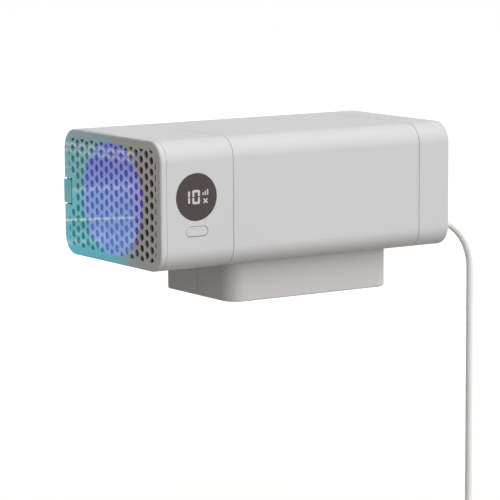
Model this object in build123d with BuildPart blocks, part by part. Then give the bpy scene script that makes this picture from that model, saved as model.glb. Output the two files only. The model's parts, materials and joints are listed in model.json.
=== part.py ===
from build123d import *
import os
from math import pi, radians, sqrt, tan

# Wall-mounted steriliser for a toothbrush and a razor, in millimetres.
# X runs along the body from the grille end, Y points into the wall and Z is up.
# The origin is on the wall, at the middle of the wall plate's back.

os.makedirs("parts", exist_ok=True)

# Body: three sleeves of one rounded section, end to end, behind a grille
body_depth = 87.7
body_height = 60.0
corner_radius = 9.6
wall = 2.0
edge_round = 0.25
left_length = 39.1
cap_length = 18.1
holder_length = 92.6
holder_left_margin = 8.85
holder_right_margin = 5.05
seam_gap = 0.2
slip = 0.1
part_gap = 0.3
wall_gap = 4.0

middle_length = holder_left_margin + holder_length + holder_right_margin
body_length = left_length + middle_length + cap_length
left_end = -body_length / 2
right_end = body_length / 2
back = -wall_gap
front = back - body_depth
mid_y = (front + back) / 2
underside = -body_height / 2
ceiling = body_height / 2
inner_back = back - wall
inner_front = front + wall
inner_floor = underside + wall
inner_ceiling = ceiling - wall

# End grille, which comes off with the dust filter behind it
grille_rim = 3.0
grille_skin = 1.2
grille_gap = 0.15
grille_margin = 4.2
rim_round = 1.0
hole_radius = 1.8
column_step = 4.444
lattice_lift = 0.35
spigot_length = 3.0
spigot_wall = 1.4
filter_thickness = 2.5
filter_play = 0.4

# Finger tab in the grille's back edge
tab_height = 11.0
tab_reach = 7.1
tab_thickness = 2.2
tab_proud = 0.8
tab_gap = 0.5
tab_end_gap = 0.95
tab_pin_radius = 0.5
pocket_wall = 2.0
pocket_clear = (2.2, 3.0)
pin_play = 0.05
knuckle_radius = 1.9
pin_bite = 1.8

# Fan
fan_from_front = 43.85
fan_bore = 26.3
guide_from_end = 6.6
guide_lip = 0.7
light_board_half = 9.0
light_led_step = 5.5
shroud_wall = 1.3
flange_start = 11.0
flange_thickness = 2.0
shroud_length = 18.0
hub_radius = 10.0
hub_wall = 1.0
hub_length = 9.0
hub_setback = 2.5
hub_round = 1.5
hub_boss = 3.4
hub_boss_length = 3.0
fan_base = 2.5
strut_width = 2.0
flange_from_front = 14.3
bearing_setback = 3.5
stator_setback = 4.0
stator_core = 4.2
stator_pole = (13.4, 2.2)
stator_ring = (7.0, 5.9)
magnet_ring = 1.4
magnet_setback = 2.0
blade_count = 7
blade_thickness = 1.2
root_chord = 8.6
root_pitch = 58
tip_chord = 13.0
tip_pitch = 35
tip_gap = 1.2
shaft_radius = 1.5
sleeve_radius = 2.7
fan_post_y = 26.0
fan_post_z = 22.5
fan_post_width = 6.0
fan_post_length = 7.0
screw_radius = 1.2
screw_head_radius = 2.3
screw_head_height = 1.5
pilot_play = 0.05

# Display and start button in the left sleeve's front wall
display_x = 19.0
display_z = 33.95
lens_radius = 10.9
lens_skin = 1.2
lens_lip = 1.1
lens_lip_thickness = 0.6
digit_depth = 0.25
digit_height = 6.5
digit_width = 4.1
digit_gap = 0.5
one_offset = 4.0
bars_offset = 3.6
bar_step = 1.2
bar_width = 0.7
mark_length = 3.0
lens_round = 0.15
module_rim = 1.4
module_window_depth = 2.0
stroke = 1.1
button_x = 19.2
button_z = 18.1
button_length = 11.6
button_height = 4.4
button_gap = 0.2
button_lip = 0.8
button_flange = 1.0
button_round = 0.4
board_depth = 10.4
board_thickness = 1.6
board_corner = 1.5
board_x = (9.0, 36.5)
board_z = (8.0, 52.0)
board_plug_x = 33.5
fan_plug_z = 12.5
lamp_plug_z = 38.0
plug_side = (4.4, 5.0)
chip = (19.0, 25.0, 7.0, 7.0, 1.0)
flash_chip = (13.0, 22.0, 4.0, 3.0, 1.4)
buzzer = (24.0, 43.0, 3.0, 3.5)
board_post_x = (12.0, 28.5)
board_post_z = (12.0, 48.0)
post_radius = 2.2
switch_side = 6.0
switch_height = 3.4
plunger_radius = 1.6
plunger_stand = 1.1

# Bulkheads that join the sleeves
ring_half = 6.0
ring_wall = 1.6
web_thickness = 1.6
air_radius = 22.0
joint_screw_x = 3.5
joint_screw_z = 18.0
countersink_radius = 2.5
countersink_depth = 1.3
boss_depth = 6.0
boss_side = 5.0

# Chamber that the heads stand in
liner_sheet = 0.8
liner_front = 10.4
liner_back = 47.0
liner_height = 48.0
liner_end_gap = 1.0
air_hole = 4.0
air_ring = 9.0
air_ring_count = 8
air_ring_hole = 2.6
uv_lead_inset = 14.0
gasket_thickness = 0.8
gasket_edge = 0.5
uv_board_length = 74.0
uv_board_width = 12.0
uv_led_count = 5
uv_led_step = 15.0
led_side = 3.5
led_height = 1.2
window_thickness = 1.0
window_drop = 4.6
frame_wall = 2.0
frame_lip = 1.5
frame_floor = 0.8

# Holder under the body: a tray in front and a fixed base behind it
holder_depth = 55.5
holder_height = 19.8
holder_from_front = 16.4
holder_wall = 1.8
holder_corner = 8.0
holder_round = 0.8
split_setback = 1.6
opening_from_front = 13.8
brush_from_left = 10.95
razor_from_left = 64.25
brush_cut = (15.0, 19.0)
razor_cut = (42.0, 20.0)
brush_hole = (9.0, 9.0)
razor_hole = (18.0, 10.0)
grip_wall = 1.2
grip_lip = 1.2
grip_seat = 0.7
grip_recess = 0.2
grip_corner = 2.0
membrane = 1.0
slit = 0.8
slit_reach = 4.0
rail_web = 1.4
rail_ledge = 1.6
rail_drop = 4.0
rail_end = 4.5
flange_drop = 1.7
flange_thin = 0.6
magnet_radius = 2.0
magnet_thickness = 1.5
magnet_from_end = 4.8
magnet_cover = 1.2
floor_cut_inset = 2.4
opening_corner = 3.0
base_post_inset = 7.0
base_post_radius = 3.6
base_pilot_depth = 8.0
lamp_step = 20.0
lamp_window = 7.0
lamp_height = 9.0
lower_board_end = 8.0
lower_board_height = 13.0
bumper_radius = 5.0
bumper_from_end = 22.0
bumper_height = 12.0

# Leads inside the body
lead_from_back = 12.7
lead_height = 46.5
lead_radius = 1.2
lane_half = 3.75
thin_lead_radius = 0.8
fan_lead_start = 4.0
fan_lead_low = 18.0
fan_lead_front = 22.0

# Power end
gland_z = 7.5
gland_length = 14.0
gland_big = 3.7
gland_small = 2.4
gland_inner_lip = 4.8
gland_groove = 0.5
gland_collar = 3.0
groove_count = 4
groove_step = 2.2
groove_width = 0.9
groove_rib = 1.6
power_post = 6.6
power_board_gap = 7.7
power_board_width = 41.0
power_board_z = (15.0, 50.0)
power_post_places = ((36.0, 46.0), (6.0, 22.0))
coil_part = (28.0, 34.0, 4.0)
capacitor = (18.0, 38.0, 2.5)
power_chip = (32.0, 20.0, 6.0, 1.0)
plug_depth = 4.0
plug_half = (3.5, 2.5)

# Wall plate
plate_length = 90.0
plate_height = 44.0
plate_thickness = 2.4
plate_corner = 6.0
plate_round = 0.8
pad_thickness = 0.8
pad_inset = 2.0
wall_screw_spacing = 60.0
wall_hole_radius = 2.2
wall_screw_head = 3.5
hook_spacing = 40.0
hook_width = 12.0
hook_thickness = 2.4
hook_lip = 5.0
hook_lip_thickness = 2.0
hook_z = 12.0
slot_height = 9.0
slot_play = 1.0

# Cord: USB lead with the spare length in a tied coil
cord_radius = 1.8
cord_reach = 211.0
bend_reach = 193.8
bend_drop = 8.7
corner_share = 0.45
turn_pitch = 4.7
layer_pitch = 5.4
inner_turn = 15.5
half_turns = 4
coil_layers = 4
coil_drop = 184.0
tail_length = 30.0
tie_width = 6.0
tie_thickness = 1.0
tie_play = 0.3
tie_corner = 1.4
plug_size = (15.6, 8.0, 22.0)
plug_corner = 2.4
plug_round = 2.0
shell_size = (12.0, 4.5, 12.0)
shell_sheet = 0.4


def along(distance):
    # X at a distance from the grille end
    return left_end + distance


def deep(distance):
    # Y at a distance behind the front face
    return front + distance


def high(distance):
    # Z at a height over the underside
    return underside + distance


def across(x):
    # Plane square to X: sketch in Y and Z
    return Plane.YZ.offset(x)


def facing(y):
    # Plane square to Y, looking out of the front: sketch in X and Z
    return Plane.XZ.offset(-y)


def level(z):
    # Level plane: sketch in X and Y
    return Plane.XY.offset(z)


def outline(inset, mode=Mode.ADD):
    # The body's section, drawn inset from its outer face
    with Locations((mid_y, 0)):
        RectangleRounded(body_depth - 2 * inset, body_height - 2 * inset, corner_radius - inset, mode=mode)


def panel(low, high_limit, radius=0, mode=Mode.ADD):
    # Rectangle between two corners on the sketch plane in use
    width = high_limit[0] - low[0]
    height = high_limit[1] - low[1]
    with Locations(((low[0] + high_limit[0]) / 2, (low[1] + high_limit[1]) / 2)):
        if radius:
            RectangleRounded(width, height, radius, mode=mode)
        else:
            Rectangle(width, height, mode=mode)


def block(low, high_limit, mode=Mode.ADD):
    # Box between two corners
    size = [b - a for a, b in zip(low, high_limit)]
    with Locations(tuple((a + b) / 2 for a, b in zip(low, high_limit))):
        Box(*size, mode=mode)


def rod(plane, place, radius, length, mode=Mode.ADD):
    # Round bar or hole from a plane, along its normal
    with BuildSketch(plane) as section:
        with Locations(place):
            Circle(radius)
    extrude(section.sketch, amount=length, mode=mode)


def pan_screw(length):
    # Screw down from its seat at the origin, with a cross recess in its head
    with BuildPart() as shape:
        with BuildSketch():
            Circle(screw_radius)
        extrude(amount=-length)
        with BuildSketch():
            Circle(screw_head_radius)
        extrude(amount=screw_head_height)
        with BuildSketch(Plane.XY.offset(screw_head_height)):
            Rectangle(screw_head_radius, 0.6)
            Rectangle(0.6, screw_head_radius)
        extrude(amount=-0.8, mode=Mode.SUBTRACT)
    return shape.part


def flat_screw(length):
    # Countersunk screw down from the outer face at the origin
    with BuildPart() as shape:
        with BuildSketch(Plane.XZ):
            with BuildLine():
                Polyline((0, 0), (countersink_radius - slip, 0), (screw_radius, -countersink_depth),
                         (screw_radius, -length), (0, -length), close=True)
            make_face()
        revolve(axis=Axis.Z)
        with BuildSketch():
            Rectangle(screw_head_radius, 0.6)
            Rectangle(0.6, screw_head_radius)
        extrude(amount=-0.8, mode=Mode.SUBTRACT)
    return shape.part


seam_left = along(left_length)
seam_right = right_end - cap_length
sleeve_start = along(grille_rim + grille_gap)
pilot_radius = screw_radius + pilot_play

# Section 1: sleeves, bulkheads and their screws

fan_y = deep(fan_from_front)
fan_posts = [(fan_y + a * fan_post_y, b * fan_post_z) for a in (-1, 1) for b in (-1, 1)]
board_posts = [(along(a), high(b)) for a in board_post_x for b in board_post_z]
fan_seat = along(flange_start + flange_thickness)
fan_post_inner = sqrt((fan_bore + shroud_wall + part_gap) ** 2 - (fan_post_y - fan_post_width / 2) ** 2)

with BuildPart() as left_housing:
    with BuildSketch(across(sleeve_start)):
        outline(0)
    extrude(amount=seam_left - seam_gap / 2 - sleeve_start)
    fillet(left_housing.faces().sort_by(Axis.X)[-1].outer_wire().edges(), edge_round)
    with BuildSketch(across(sleeve_start)):
        outline(wall)
    extrude(amount=seam_left - seam_gap / 2 - sleeve_start, mode=Mode.SUBTRACT)
    # Stepped seat for the display lens, and the button's slot
    rod(facing(front), (along(display_x), high(display_z)), lens_radius + slip, -wall, Mode.SUBTRACT)
    rod(facing(front + lens_skin - slip), (along(display_x), high(display_z)),
        lens_radius + lens_lip + slip, -wall, Mode.SUBTRACT)
    with BuildSketch(facing(front)):
        with Locations((along(button_x), high(button_z))):
            SlotOverall(button_length + 2 * button_gap, button_height + 2 * button_gap)
    extrude(amount=-wall, mode=Mode.SUBTRACT)
    # Posts for the control board on the front wall
    for place in board_posts:
        rod(facing(inner_front - slip), place, post_radius, -(board_depth - wall + slip))
        rod(facing(deep(board_depth)), place, pilot_radius, board_depth - wall - 1, Mode.SUBTRACT)
    # Blocks that the fan is screwed to
    for y, z in fan_posts:
        side = 1 if z > 0 else -1
        low_z, high_z = sorted((side * fan_post_inner, side * (inner_ceiling + slip)))
        block((fan_seat, y - fan_post_width / 2, low_z),
              (fan_seat + fan_post_length, y + fan_post_width / 2, high_z))
        rod(across(fan_seat), (y, z), pilot_radius, fan_post_length - 1, Mode.SUBTRACT)
    # Holes for the screws in the back wall
    for z in (-joint_screw_z, joint_screw_z):
        with Locations(facing(back) * Location((seam_left - joint_screw_x, z, 0), (180, 0, 0))):
            CounterSinkHole(pilot_radius, countersink_radius, wall)

holder_left = seam_left + holder_left_margin
holder_right = holder_left + holder_length
brush_x = holder_left + brush_from_left
razor_x = holder_left + razor_from_left
holder_front = deep(holder_from_front)
holder_back = holder_front + holder_depth
holder_bottom = underside - holder_height
split_y = holder_front + (holder_depth - part_gap) / 2 + split_setback
lead_hole_y = (split_y + part_gap + holder_back) / 2
floor_cut_low = (holder_left + floor_cut_inset, holder_front + floor_cut_inset)
floor_cut_high = (holder_right - floor_cut_inset, split_y - floor_cut_inset)
base_posts = [(x, y) for x in (holder_left + base_post_inset, holder_right - base_post_inset)
              for y in (split_y + base_post_inset, holder_back - base_post_inset)]
slot_size = (hook_width + 2 * slot_play, slot_height)
slot_places = [(x, hook_z - slot_height / 2) for x in (-hook_spacing / 2, hook_spacing / 2)]

with BuildPart() as middle_housing:
    with BuildSketch(across(seam_left + seam_gap / 2)):
        outline(0)
    extrude(amount=seam_right - seam_left - seam_gap)
    ends = middle_housing.faces().filter_by(Axis.X)
    fillet([edge for face in ends for edge in face.outer_wire().edges()], edge_round)
    with BuildSketch(across(seam_left + seam_gap / 2)):
        outline(wall)
    extrude(amount=seam_right - seam_left - seam_gap, mode=Mode.SUBTRACT)
    # Opening over the tray, for the heads
    with BuildSketch(level(underside)):
        panel(floor_cut_low, floor_cut_high, opening_corner)
    extrude(amount=wall, mode=Mode.SUBTRACT)
    # Slots for the wall plate's hooks
    with BuildSketch(facing(back)):
        with Locations(*slot_places):
            Rectangle(*slot_size)
    extrude(amount=wall, mode=Mode.SUBTRACT)
    # Holes for the base's screws, the lower lamps' lead and the joint screws
    with BuildSketch(level(underside)):
        with Locations(*base_posts):
            Circle(pilot_radius)
        with Locations((holder_left + holder_length / 2, lead_hole_y)):
            Circle(thin_lead_radius + part_gap)
    extrude(amount=wall, mode=Mode.SUBTRACT)
    for x in (seam_left + joint_screw_x, seam_right - joint_screw_x):
        for z in (-joint_screw_z, joint_screw_z):
            with Locations(facing(back) * Location((x, z, 0), (180, 0, 0))):
                CounterSinkHole(pilot_radius, countersink_radius, wall)

power_board_back = inner_back - power_board_gap
power_posts = [(power_board_back - a, high(b)) for a, b in power_post_places]
power_board_x = right_end - wall - power_post - board_thickness

with BuildPart() as right_cap:
    with BuildSketch(across(seam_right + seam_gap / 2)):
        outline(0)
    extrude(amount=cap_length - seam_gap / 2)
    fillet(right_cap.faces().sort_by(Axis.X)[0].outer_wire().edges(), edge_round)
    fillet(right_cap.faces().sort_by(Axis.X)[-1].outer_wire().edges(), rim_round)
    with BuildSketch(across(seam_right + seam_gap / 2)):
        outline(wall)
    extrude(amount=cap_length - seam_gap / 2 - wall, mode=Mode.SUBTRACT)
    # Hole for the cord's gland, and posts for the power board
    rod(across(right_end), (mid_y, high(gland_z)), gland_big - gland_groove + slip, -wall, Mode.SUBTRACT)
    for place in power_posts:
        rod(across(right_end - wall + slip), place, post_radius, -power_post - slip)
        rod(across(right_end - wall - power_post), place, pilot_radius, power_post - 1, Mode.SUBTRACT)
    for z in (-joint_screw_z, joint_screw_z):
        with Locations(facing(back) * Location((seam_right + joint_screw_x, z, 0), (180, 0, 0))):
            CounterSinkHole(pilot_radius, countersink_radius, wall)

lane_y = inner_back - lead_from_back
lane_z = high(lead_height)


def bulkhead(seam, opening_radius):
    # Ring across a seam, inside both sleeves, with a web between them
    with BuildPart() as shape:
        with BuildSketch(across(seam - ring_half)):
            outline(wall + slip)
            outline(wall + slip + ring_wall, Mode.SUBTRACT)
        extrude(amount=2 * ring_half)
        with BuildSketch(across(seam - web_thickness / 2)):
            outline(wall + slip)
        extrude(amount=web_thickness)
        for x in (seam - joint_screw_x, seam + joint_screw_x):
            for z in (-joint_screw_z, joint_screw_z):
                block((x - boss_side / 2, inner_back - slip - boss_depth, z - boss_side / 2),
                      (x + boss_side / 2, inner_back - slip, z + boss_side / 2))
                rod(facing(inner_back), (x, z), pilot_radius, boss_depth - 1, Mode.SUBTRACT)
        with BuildSketch(across(seam - web_thickness / 2)):
            if opening_radius:
                with Locations((mid_y, 0)):
                    Circle(opening_radius)
            panel((lane_y - lane_half, lane_z - lane_half), (lane_y + lane_half, lane_z + lane_half), 2)
        extrude(amount=web_thickness, mode=Mode.SUBTRACT)
    return shape


left_bulkhead = bulkhead(seam_left, air_radius)
right_bulkhead = bulkhead(seam_right, 0)

joint_screw = flat_screw(wall + boss_depth - 2)
with BuildPart() as housing_screws:
    for x in (seam_left, seam_right):
        for side in (-joint_screw_x, joint_screw_x):
            for z in (-joint_screw_z, joint_screw_z):
                add(joint_screw.moved(Location((x + side, back, z), (-90, 0, 0))))

# Section 2: end grille, filter and finger tab

field_low = (deep(grille_margin), high(grille_margin))
field_high = (back - grille_margin, ceiling - grille_margin)
row_step = column_step * 2 / sqrt(3)
pin_x = along(tab_thickness - tab_proud) - 0.3
pin_y = back - knuckle_radius + slip
tab_edge = pin_y - tab_reach + knuckle_radius
notch_edge = tab_edge - tab_gap
notch_half = tab_height / 2 + tab_end_gap
pocket_inset = wall + part_gap + spigot_wall


def near_tab(y, z):
    # True where a hole would run into the tab's pocket
    return y > notch_edge - pocket_clear[0] and abs(z) < notch_half + pocket_clear[1]


def grille_holes():
    # Centres of the staggered columns of holes that show inside the field
    places = []
    for column in range(-9, 10):
        y = mid_y + column * column_step
        shift = 0 if column % 2 == 0 else row_step / 2
        for row in range(-7, 8):
            z = lattice_lift + shift + row * row_step
            reach = hole_radius * 0.6
            inside = abs(y - mid_y) < body_depth / 2 - grille_margin + reach
            if inside and abs(z) < body_height / 2 - grille_margin + reach and not near_tab(y, z):
                places.append((y, z))
    return places


with BuildPart() as end_grille:
    with BuildSketch(across(left_end)):
        outline(0)
    extrude(amount=grille_rim)
    fillet(end_grille.faces().sort_by(Axis.X)[0].outer_wire().edges(), rim_round)
    # Pocket for the filter, and the spigot that enters the sleeve
    with BuildSketch(across(left_end + grille_rim)):
        outline(pocket_inset)
    extrude(amount=grille_skin - grille_rim, mode=Mode.SUBTRACT)
    with BuildSketch(across(left_end + grille_rim)):
        outline(wall + part_gap)
        outline(pocket_inset, Mode.SUBTRACT)
    extrude(amount=spigot_length)
    with BuildSketch(across(left_end)):
        with Locations(*grille_holes()):
            Circle(hole_radius)
        panel(field_low, field_high, corner_radius - grille_margin, Mode.INTERSECT)
    extrude(amount=grille_skin, mode=Mode.SUBTRACT)
    # Pocket that the tab lies in
    block((left_end + grille_skin - slip, notch_edge - pocket_wall, -notch_half - pocket_wall),
          (left_end + grille_rim + pocket_wall, back - wall - part_gap - slip, notch_half + pocket_wall))
    block((left_end - 1, notch_edge, -notch_half), (left_end + grille_rim + slip, back + 1, notch_half),
          Mode.SUBTRACT)
    rod(level(-notch_half - pin_bite), (pin_x, pin_y), tab_pin_radius + 0.02, 2 * (notch_half + pin_bite),
        Mode.SUBTRACT)

with BuildPart() as dust_filter:
    with BuildSketch(across(left_end + grille_skin + slip)):
        outline(pocket_inset + filter_play)
        pocket_edge = pocket_wall + filter_play
        panel((notch_edge - pocket_edge, -notch_half - pocket_edge), (back, notch_half + pocket_edge), 0,
              Mode.SUBTRACT)
    extrude(amount=filter_thickness)

with BuildPart() as pull_tab:
    with BuildSketch(level(-tab_height / 2)):
        panel((left_end - tab_proud, tab_edge), (left_end - tab_proud + tab_thickness, pin_y))
        with Locations((pin_x, pin_y)):
            Circle(knuckle_radius)
        with Locations((pin_x, pin_y)):
            Circle(tab_pin_radius + pin_play, mode=Mode.SUBTRACT)
    extrude(amount=tab_height)

with BuildPart() as tab_pin:
    rod(level(-notch_half - pin_bite + slip), (pin_x, pin_y), tab_pin_radius,
        2 * (notch_half + pin_bite - slip))

# Section 3: fan

shroud_end = along(flange_start + shroud_length)
base_start = shroud_end - fan_base
hub_start = along(flange_start + hub_setback)
rotor_end = hub_start + hub_length
flange_front = deep(flange_from_front)

with BuildPart() as fan_shroud:
    with BuildSketch(across(along(flange_start))):
        outline(wall + part_gap)
        panel((front, underside), (flange_front, ceiling), 0, Mode.SUBTRACT)
        with Locations((fan_y, 0)):
            Circle(fan_bore, mode=Mode.SUBTRACT)
        with Locations(*fan_posts):
            Circle(screw_radius + slip, mode=Mode.SUBTRACT)
    extrude(amount=flange_thickness)
    with BuildSketch(across(along(flange_start))):
        with Locations((fan_y, 0)):
            Circle(fan_bore + shroud_wall)
            Circle(fan_bore, mode=Mode.SUBTRACT)
    extrude(amount=shroud_length)
    with BuildSketch(across(base_start)):
        with Locations((fan_y, 0)):
            Circle(hub_radius)
        for angle in (45, 135):
            with Locations(Location((fan_y, 0, 0), (0, 0, angle))):
                Rectangle(2 * fan_bore + shroud_wall, strut_width)
        with Locations((fan_y, 0)):
            Circle(sleeve_radius + 0.02, mode=Mode.SUBTRACT)
    extrude(amount=shroud_end - base_start)

with BuildPart() as fan_bearing:
    with BuildSketch(across(hub_start + bearing_setback)):
        with Locations((fan_y, 0)):
            Circle(sleeve_radius)
            Circle(shaft_radius + pin_play, mode=Mode.SUBTRACT)
    extrude(amount=shroud_end - hub_start - bearing_setback)

with BuildPart() as fan_stator:
    with BuildSketch(across(hub_start + stator_setback)):
        with Locations((fan_y, 0)):
            Circle(stator_core)
        for angle in range(0, 180, 45):
            with Locations(Location((fan_y, 0, 0), (0, 0, angle))):
                Rectangle(*stator_pole)
        with Locations((fan_y, 0)):
            Circle(stator_ring[0])
            Circle(stator_ring[1], mode=Mode.SUBTRACT)
        with Locations((fan_y, 0)):
            Circle(sleeve_radius + 0.02, mode=Mode.SUBTRACT)
    extrude(amount=base_start - hub_start - stator_setback - part_gap)

fan_screw = pan_screw(fan_post_length)
with BuildPart() as fan_screws:
    for y, z in fan_posts:
        add(fan_screw.moved(Location((along(flange_start), y, z), (0, -90, 0))))

with BuildPart() as fan_rotor:
    with BuildSketch(across(hub_start)):
        with Locations((fan_y, 0)):
            Circle(hub_radius)
    extrude(amount=hub_length)
    fillet(fan_rotor.faces().sort_by(Axis.X)[0].edges(), hub_round)
    with BuildSketch(across(hub_start + hub_round)):
        with Locations((fan_y, 0)):
            Circle(hub_radius - hub_wall)
    extrude(amount=hub_length, mode=Mode.SUBTRACT)
    with BuildSketch(across(hub_start)):
        with Locations((fan_y, 0)):
            Circle(hub_boss)
    extrude(amount=hub_boss_length)
    for index in range(blade_count):
        turn = Plane(origin=((hub_start + rotor_end) / 2, fan_y, 0), x_dir=(1, 0, 0), z_dir=(0, 0, 1))
        spoke = turn.rotated((index * 360 / blade_count, 0, 0))
        with BuildSketch(spoke.offset(hub_radius - hub_wall / 2)) as root:
            Rectangle(blade_thickness, root_chord, rotation=root_pitch)
        with BuildSketch(spoke.offset(fan_bore - tip_gap)) as tip:
            Rectangle(blade_thickness, tip_chord, rotation=tip_pitch)
        loft([root.sketch.face(), tip.sketch.face()], ruled=True)
    rod(across(hub_start), (fan_y, 0), shaft_radius, hub_boss_length, Mode.SUBTRACT)

with BuildPart() as fan_shaft:
    rod(across(hub_start), (fan_y, 0), shaft_radius, shroud_end - hub_start - 2 * part_gap)

with BuildPart() as rotor_magnet:
    with BuildSketch(across(hub_start + magnet_setback)):
        with Locations((fan_y, 0)):
            Circle(hub_radius - hub_wall)
            Circle(hub_radius - hub_wall - magnet_ring, mode=Mode.SUBTRACT)
    extrude(amount=hub_length - magnet_setback - part_gap)

# Ring that carries the indicator light round the fan's mouth
guide_start = along(guide_from_end)
with BuildPart() as light_guide:
    with BuildSketch(across(guide_start)):
        with Locations((fan_y, 0)):
            Circle(fan_bore + shroud_wall)
            Circle(fan_bore - guide_lip, mode=Mode.SUBTRACT)
    extrude(amount=along(flange_start) - guide_start)

light_board_y = fan_y + fan_bore + shroud_wall + part_gap
with BuildPart() as light_board:
    with BuildSketch(across(along(flange_start) - board_thickness)):
        panel((light_board_y, -light_board_half), (inner_back - 2 * part_gap, light_board_half), 1)
    extrude(amount=board_thickness)

with BuildPart() as light_leds:
    for z in (-light_led_step, 0, light_led_step):
        block((along(flange_start) - board_thickness - led_height, light_board_y + 0.2, z - led_side / 2),
              (along(flange_start) - board_thickness, light_board_y + 0.2 + led_side, z + led_side / 2))

# Section 4: display, button and control board

lens_place = (along(display_x), high(display_z))
lens_back = front + lens_skin + lens_lip_thickness


def digit_shapes():
    # Plain number ten, level bars and a fan mark, drawn about the lens's centre
    cx, cz = lens_place
    with Locations((cx - 0.2, cz)):
        RectangleRounded(digit_width, digit_height, 0.9)
        RectangleRounded(digit_width - 2 * stroke, digit_height - 2 * stroke, 0.3, mode=Mode.SUBTRACT)
        Rectangle(digit_width, digit_gap, mode=Mode.SUBTRACT)
    bar_height = (digit_height - digit_gap) / 2 - 0.35
    bar_z = digit_height / 4 - 0.15
    with Locations((cx - one_offset, cz + bar_z), (cx - one_offset, cz - bar_z)):
        RectangleRounded(stroke, bar_height, 0.3)
    bar_base = digit_height / 2 - bar_step - 2 * bar_width
    for step in range(3):
        tall = bar_step + bar_width * step
        with Locations((cx + bars_offset + bar_step * step, cz + bar_base + tall / 2)):
            Rectangle(bar_width, tall)
    for angle in (45, 135):
        with Locations(Location((cx + bars_offset + bar_step, cz - 2.0, 0), (0, 0, angle))):
            SlotOverall(mark_length, bar_width)


with BuildPart() as display_lens:
    rod(facing(front), lens_place, lens_radius, -(lens_skin + lens_lip_thickness))
    rod(facing(front + lens_skin), lens_place, lens_radius + lens_lip, -lens_lip_thickness)
    fillet(display_lens.faces().sort_by(Axis.Y)[0].edges(), lens_round)
    with BuildSketch(facing(front)):
        digit_shapes()
    extrude(amount=-digit_depth, mode=Mode.SUBTRACT)

with BuildPart() as display_digits:
    with BuildSketch(facing(front)):
        digit_shapes()
    extrude(amount=-digit_depth)

with BuildPart() as display_module:
    rod(facing(deep(board_depth)), lens_place, lens_radius - 1.0, deep(board_depth) - lens_back - part_gap)
    rod(facing(lens_back + part_gap), lens_place, lens_radius - 1.0 - module_rim, -module_window_depth,
        Mode.SUBTRACT)

button_place = (along(button_x), high(button_z))
switch_front = deep(board_depth) - switch_height
plunger_tip = switch_front - plunger_stand
lip_front = inner_front + slip

with BuildPart() as button_cap:
    with BuildSketch(facing(front)):
        with Locations(button_place):
            SlotOverall(button_length, button_height)
    extrude(amount=front - lip_front - button_lip)
    fillet(button_cap.faces().sort_by(Axis.Y)[0].edges(), button_round)
    with BuildSketch(facing(lip_front)):
        with Locations(button_place):
            SlotOverall(button_length + 2 * button_flange, button_height + 2 * button_flange)
    extrude(amount=-button_lip)
    rod(facing(lip_front + button_lip), button_place, plunger_radius, lip_front + button_lip - plunger_tip)

with BuildPart() as switch_plunger:
    rod(facing(plunger_tip), button_place, plunger_radius, -plunger_stand - 1.0)

with BuildPart() as switch_body:
    with BuildSketch(facing(switch_front)):
        with Locations(button_place):
            RectangleRounded(switch_side, switch_side, 0.6)
    extrude(amount=-switch_height)
    rod(facing(switch_front), button_place, plunger_radius + pin_play, -2.2, Mode.SUBTRACT)

with BuildPart() as control_board:
    with BuildSketch(facing(deep(board_depth))):
        panel((along(board_x[0]), high(board_z[0])), (along(board_x[1]), high(board_z[1])), board_corner)
        with Locations(*board_posts):
            Circle(screw_radius + slip, mode=Mode.SUBTRACT)
    extrude(amount=-board_thickness)

board_rear = deep(board_depth + board_thickness)
plug_rear = board_rear + plug_depth
plug_places = {"power": (along(board_plug_x), lane_z), "fan": (along(board_plug_x), high(fan_plug_z)),
               "lamps": (along(board_plug_x), high(lamp_plug_z))}

with BuildPart() as control_chips:
    for x, z, width, height, thickness in (chip, flash_chip):
        block((along(x), board_rear, high(z)), (along(x + width), board_rear + thickness, high(z + height)))
    rod(facing(board_rear), (along(buzzer[0]), high(buzzer[1])), buzzer[2], -buzzer[3])
    for x, z in plug_places.values():
        block((x - plug_side[0] / 2, board_rear, z - plug_side[1] / 2),
              (x + plug_side[0] / 2, plug_rear, z + plug_side[1] / 2))

# Section 5: power end

with BuildPart() as power_board:
    with BuildSketch(across(power_board_x)):
        panel((power_board_back - power_board_width, high(power_board_z[0])),
              (power_board_back, high(power_board_z[1])), board_corner)
        with Locations(*power_posts):
            Circle(screw_radius + slip, mode=Mode.SUBTRACT)
    extrude(amount=board_thickness)

with BuildPart() as power_parts:
    for inset, height, radius in (coil_part, capacitor):
        rod(across(power_board_x), (power_board_back - inset, high(height)), radius, -plug_depth)
    inset, height, side, thickness = power_chip
    block((power_board_x - thickness, power_board_back - inset, high(height)),
          (power_board_x, power_board_back - inset + side, high(height + side)))
    block((power_board_x - plug_depth, lane_y - plug_half[0], lane_z - plug_half[1]),
          (power_board_x, lane_y + plug_half[0], lane_z + plug_half[1]))

board_screw = pan_screw(5.0)
with BuildPart() as board_screws:
    for x, z in board_posts:
        add(board_screw.moved(Location((x, board_rear, z), (-90, 0, 0))))
    for y, z in power_posts:
        add(board_screw.moved(Location((power_board_x, y, z), (0, -90, 0))))

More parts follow.
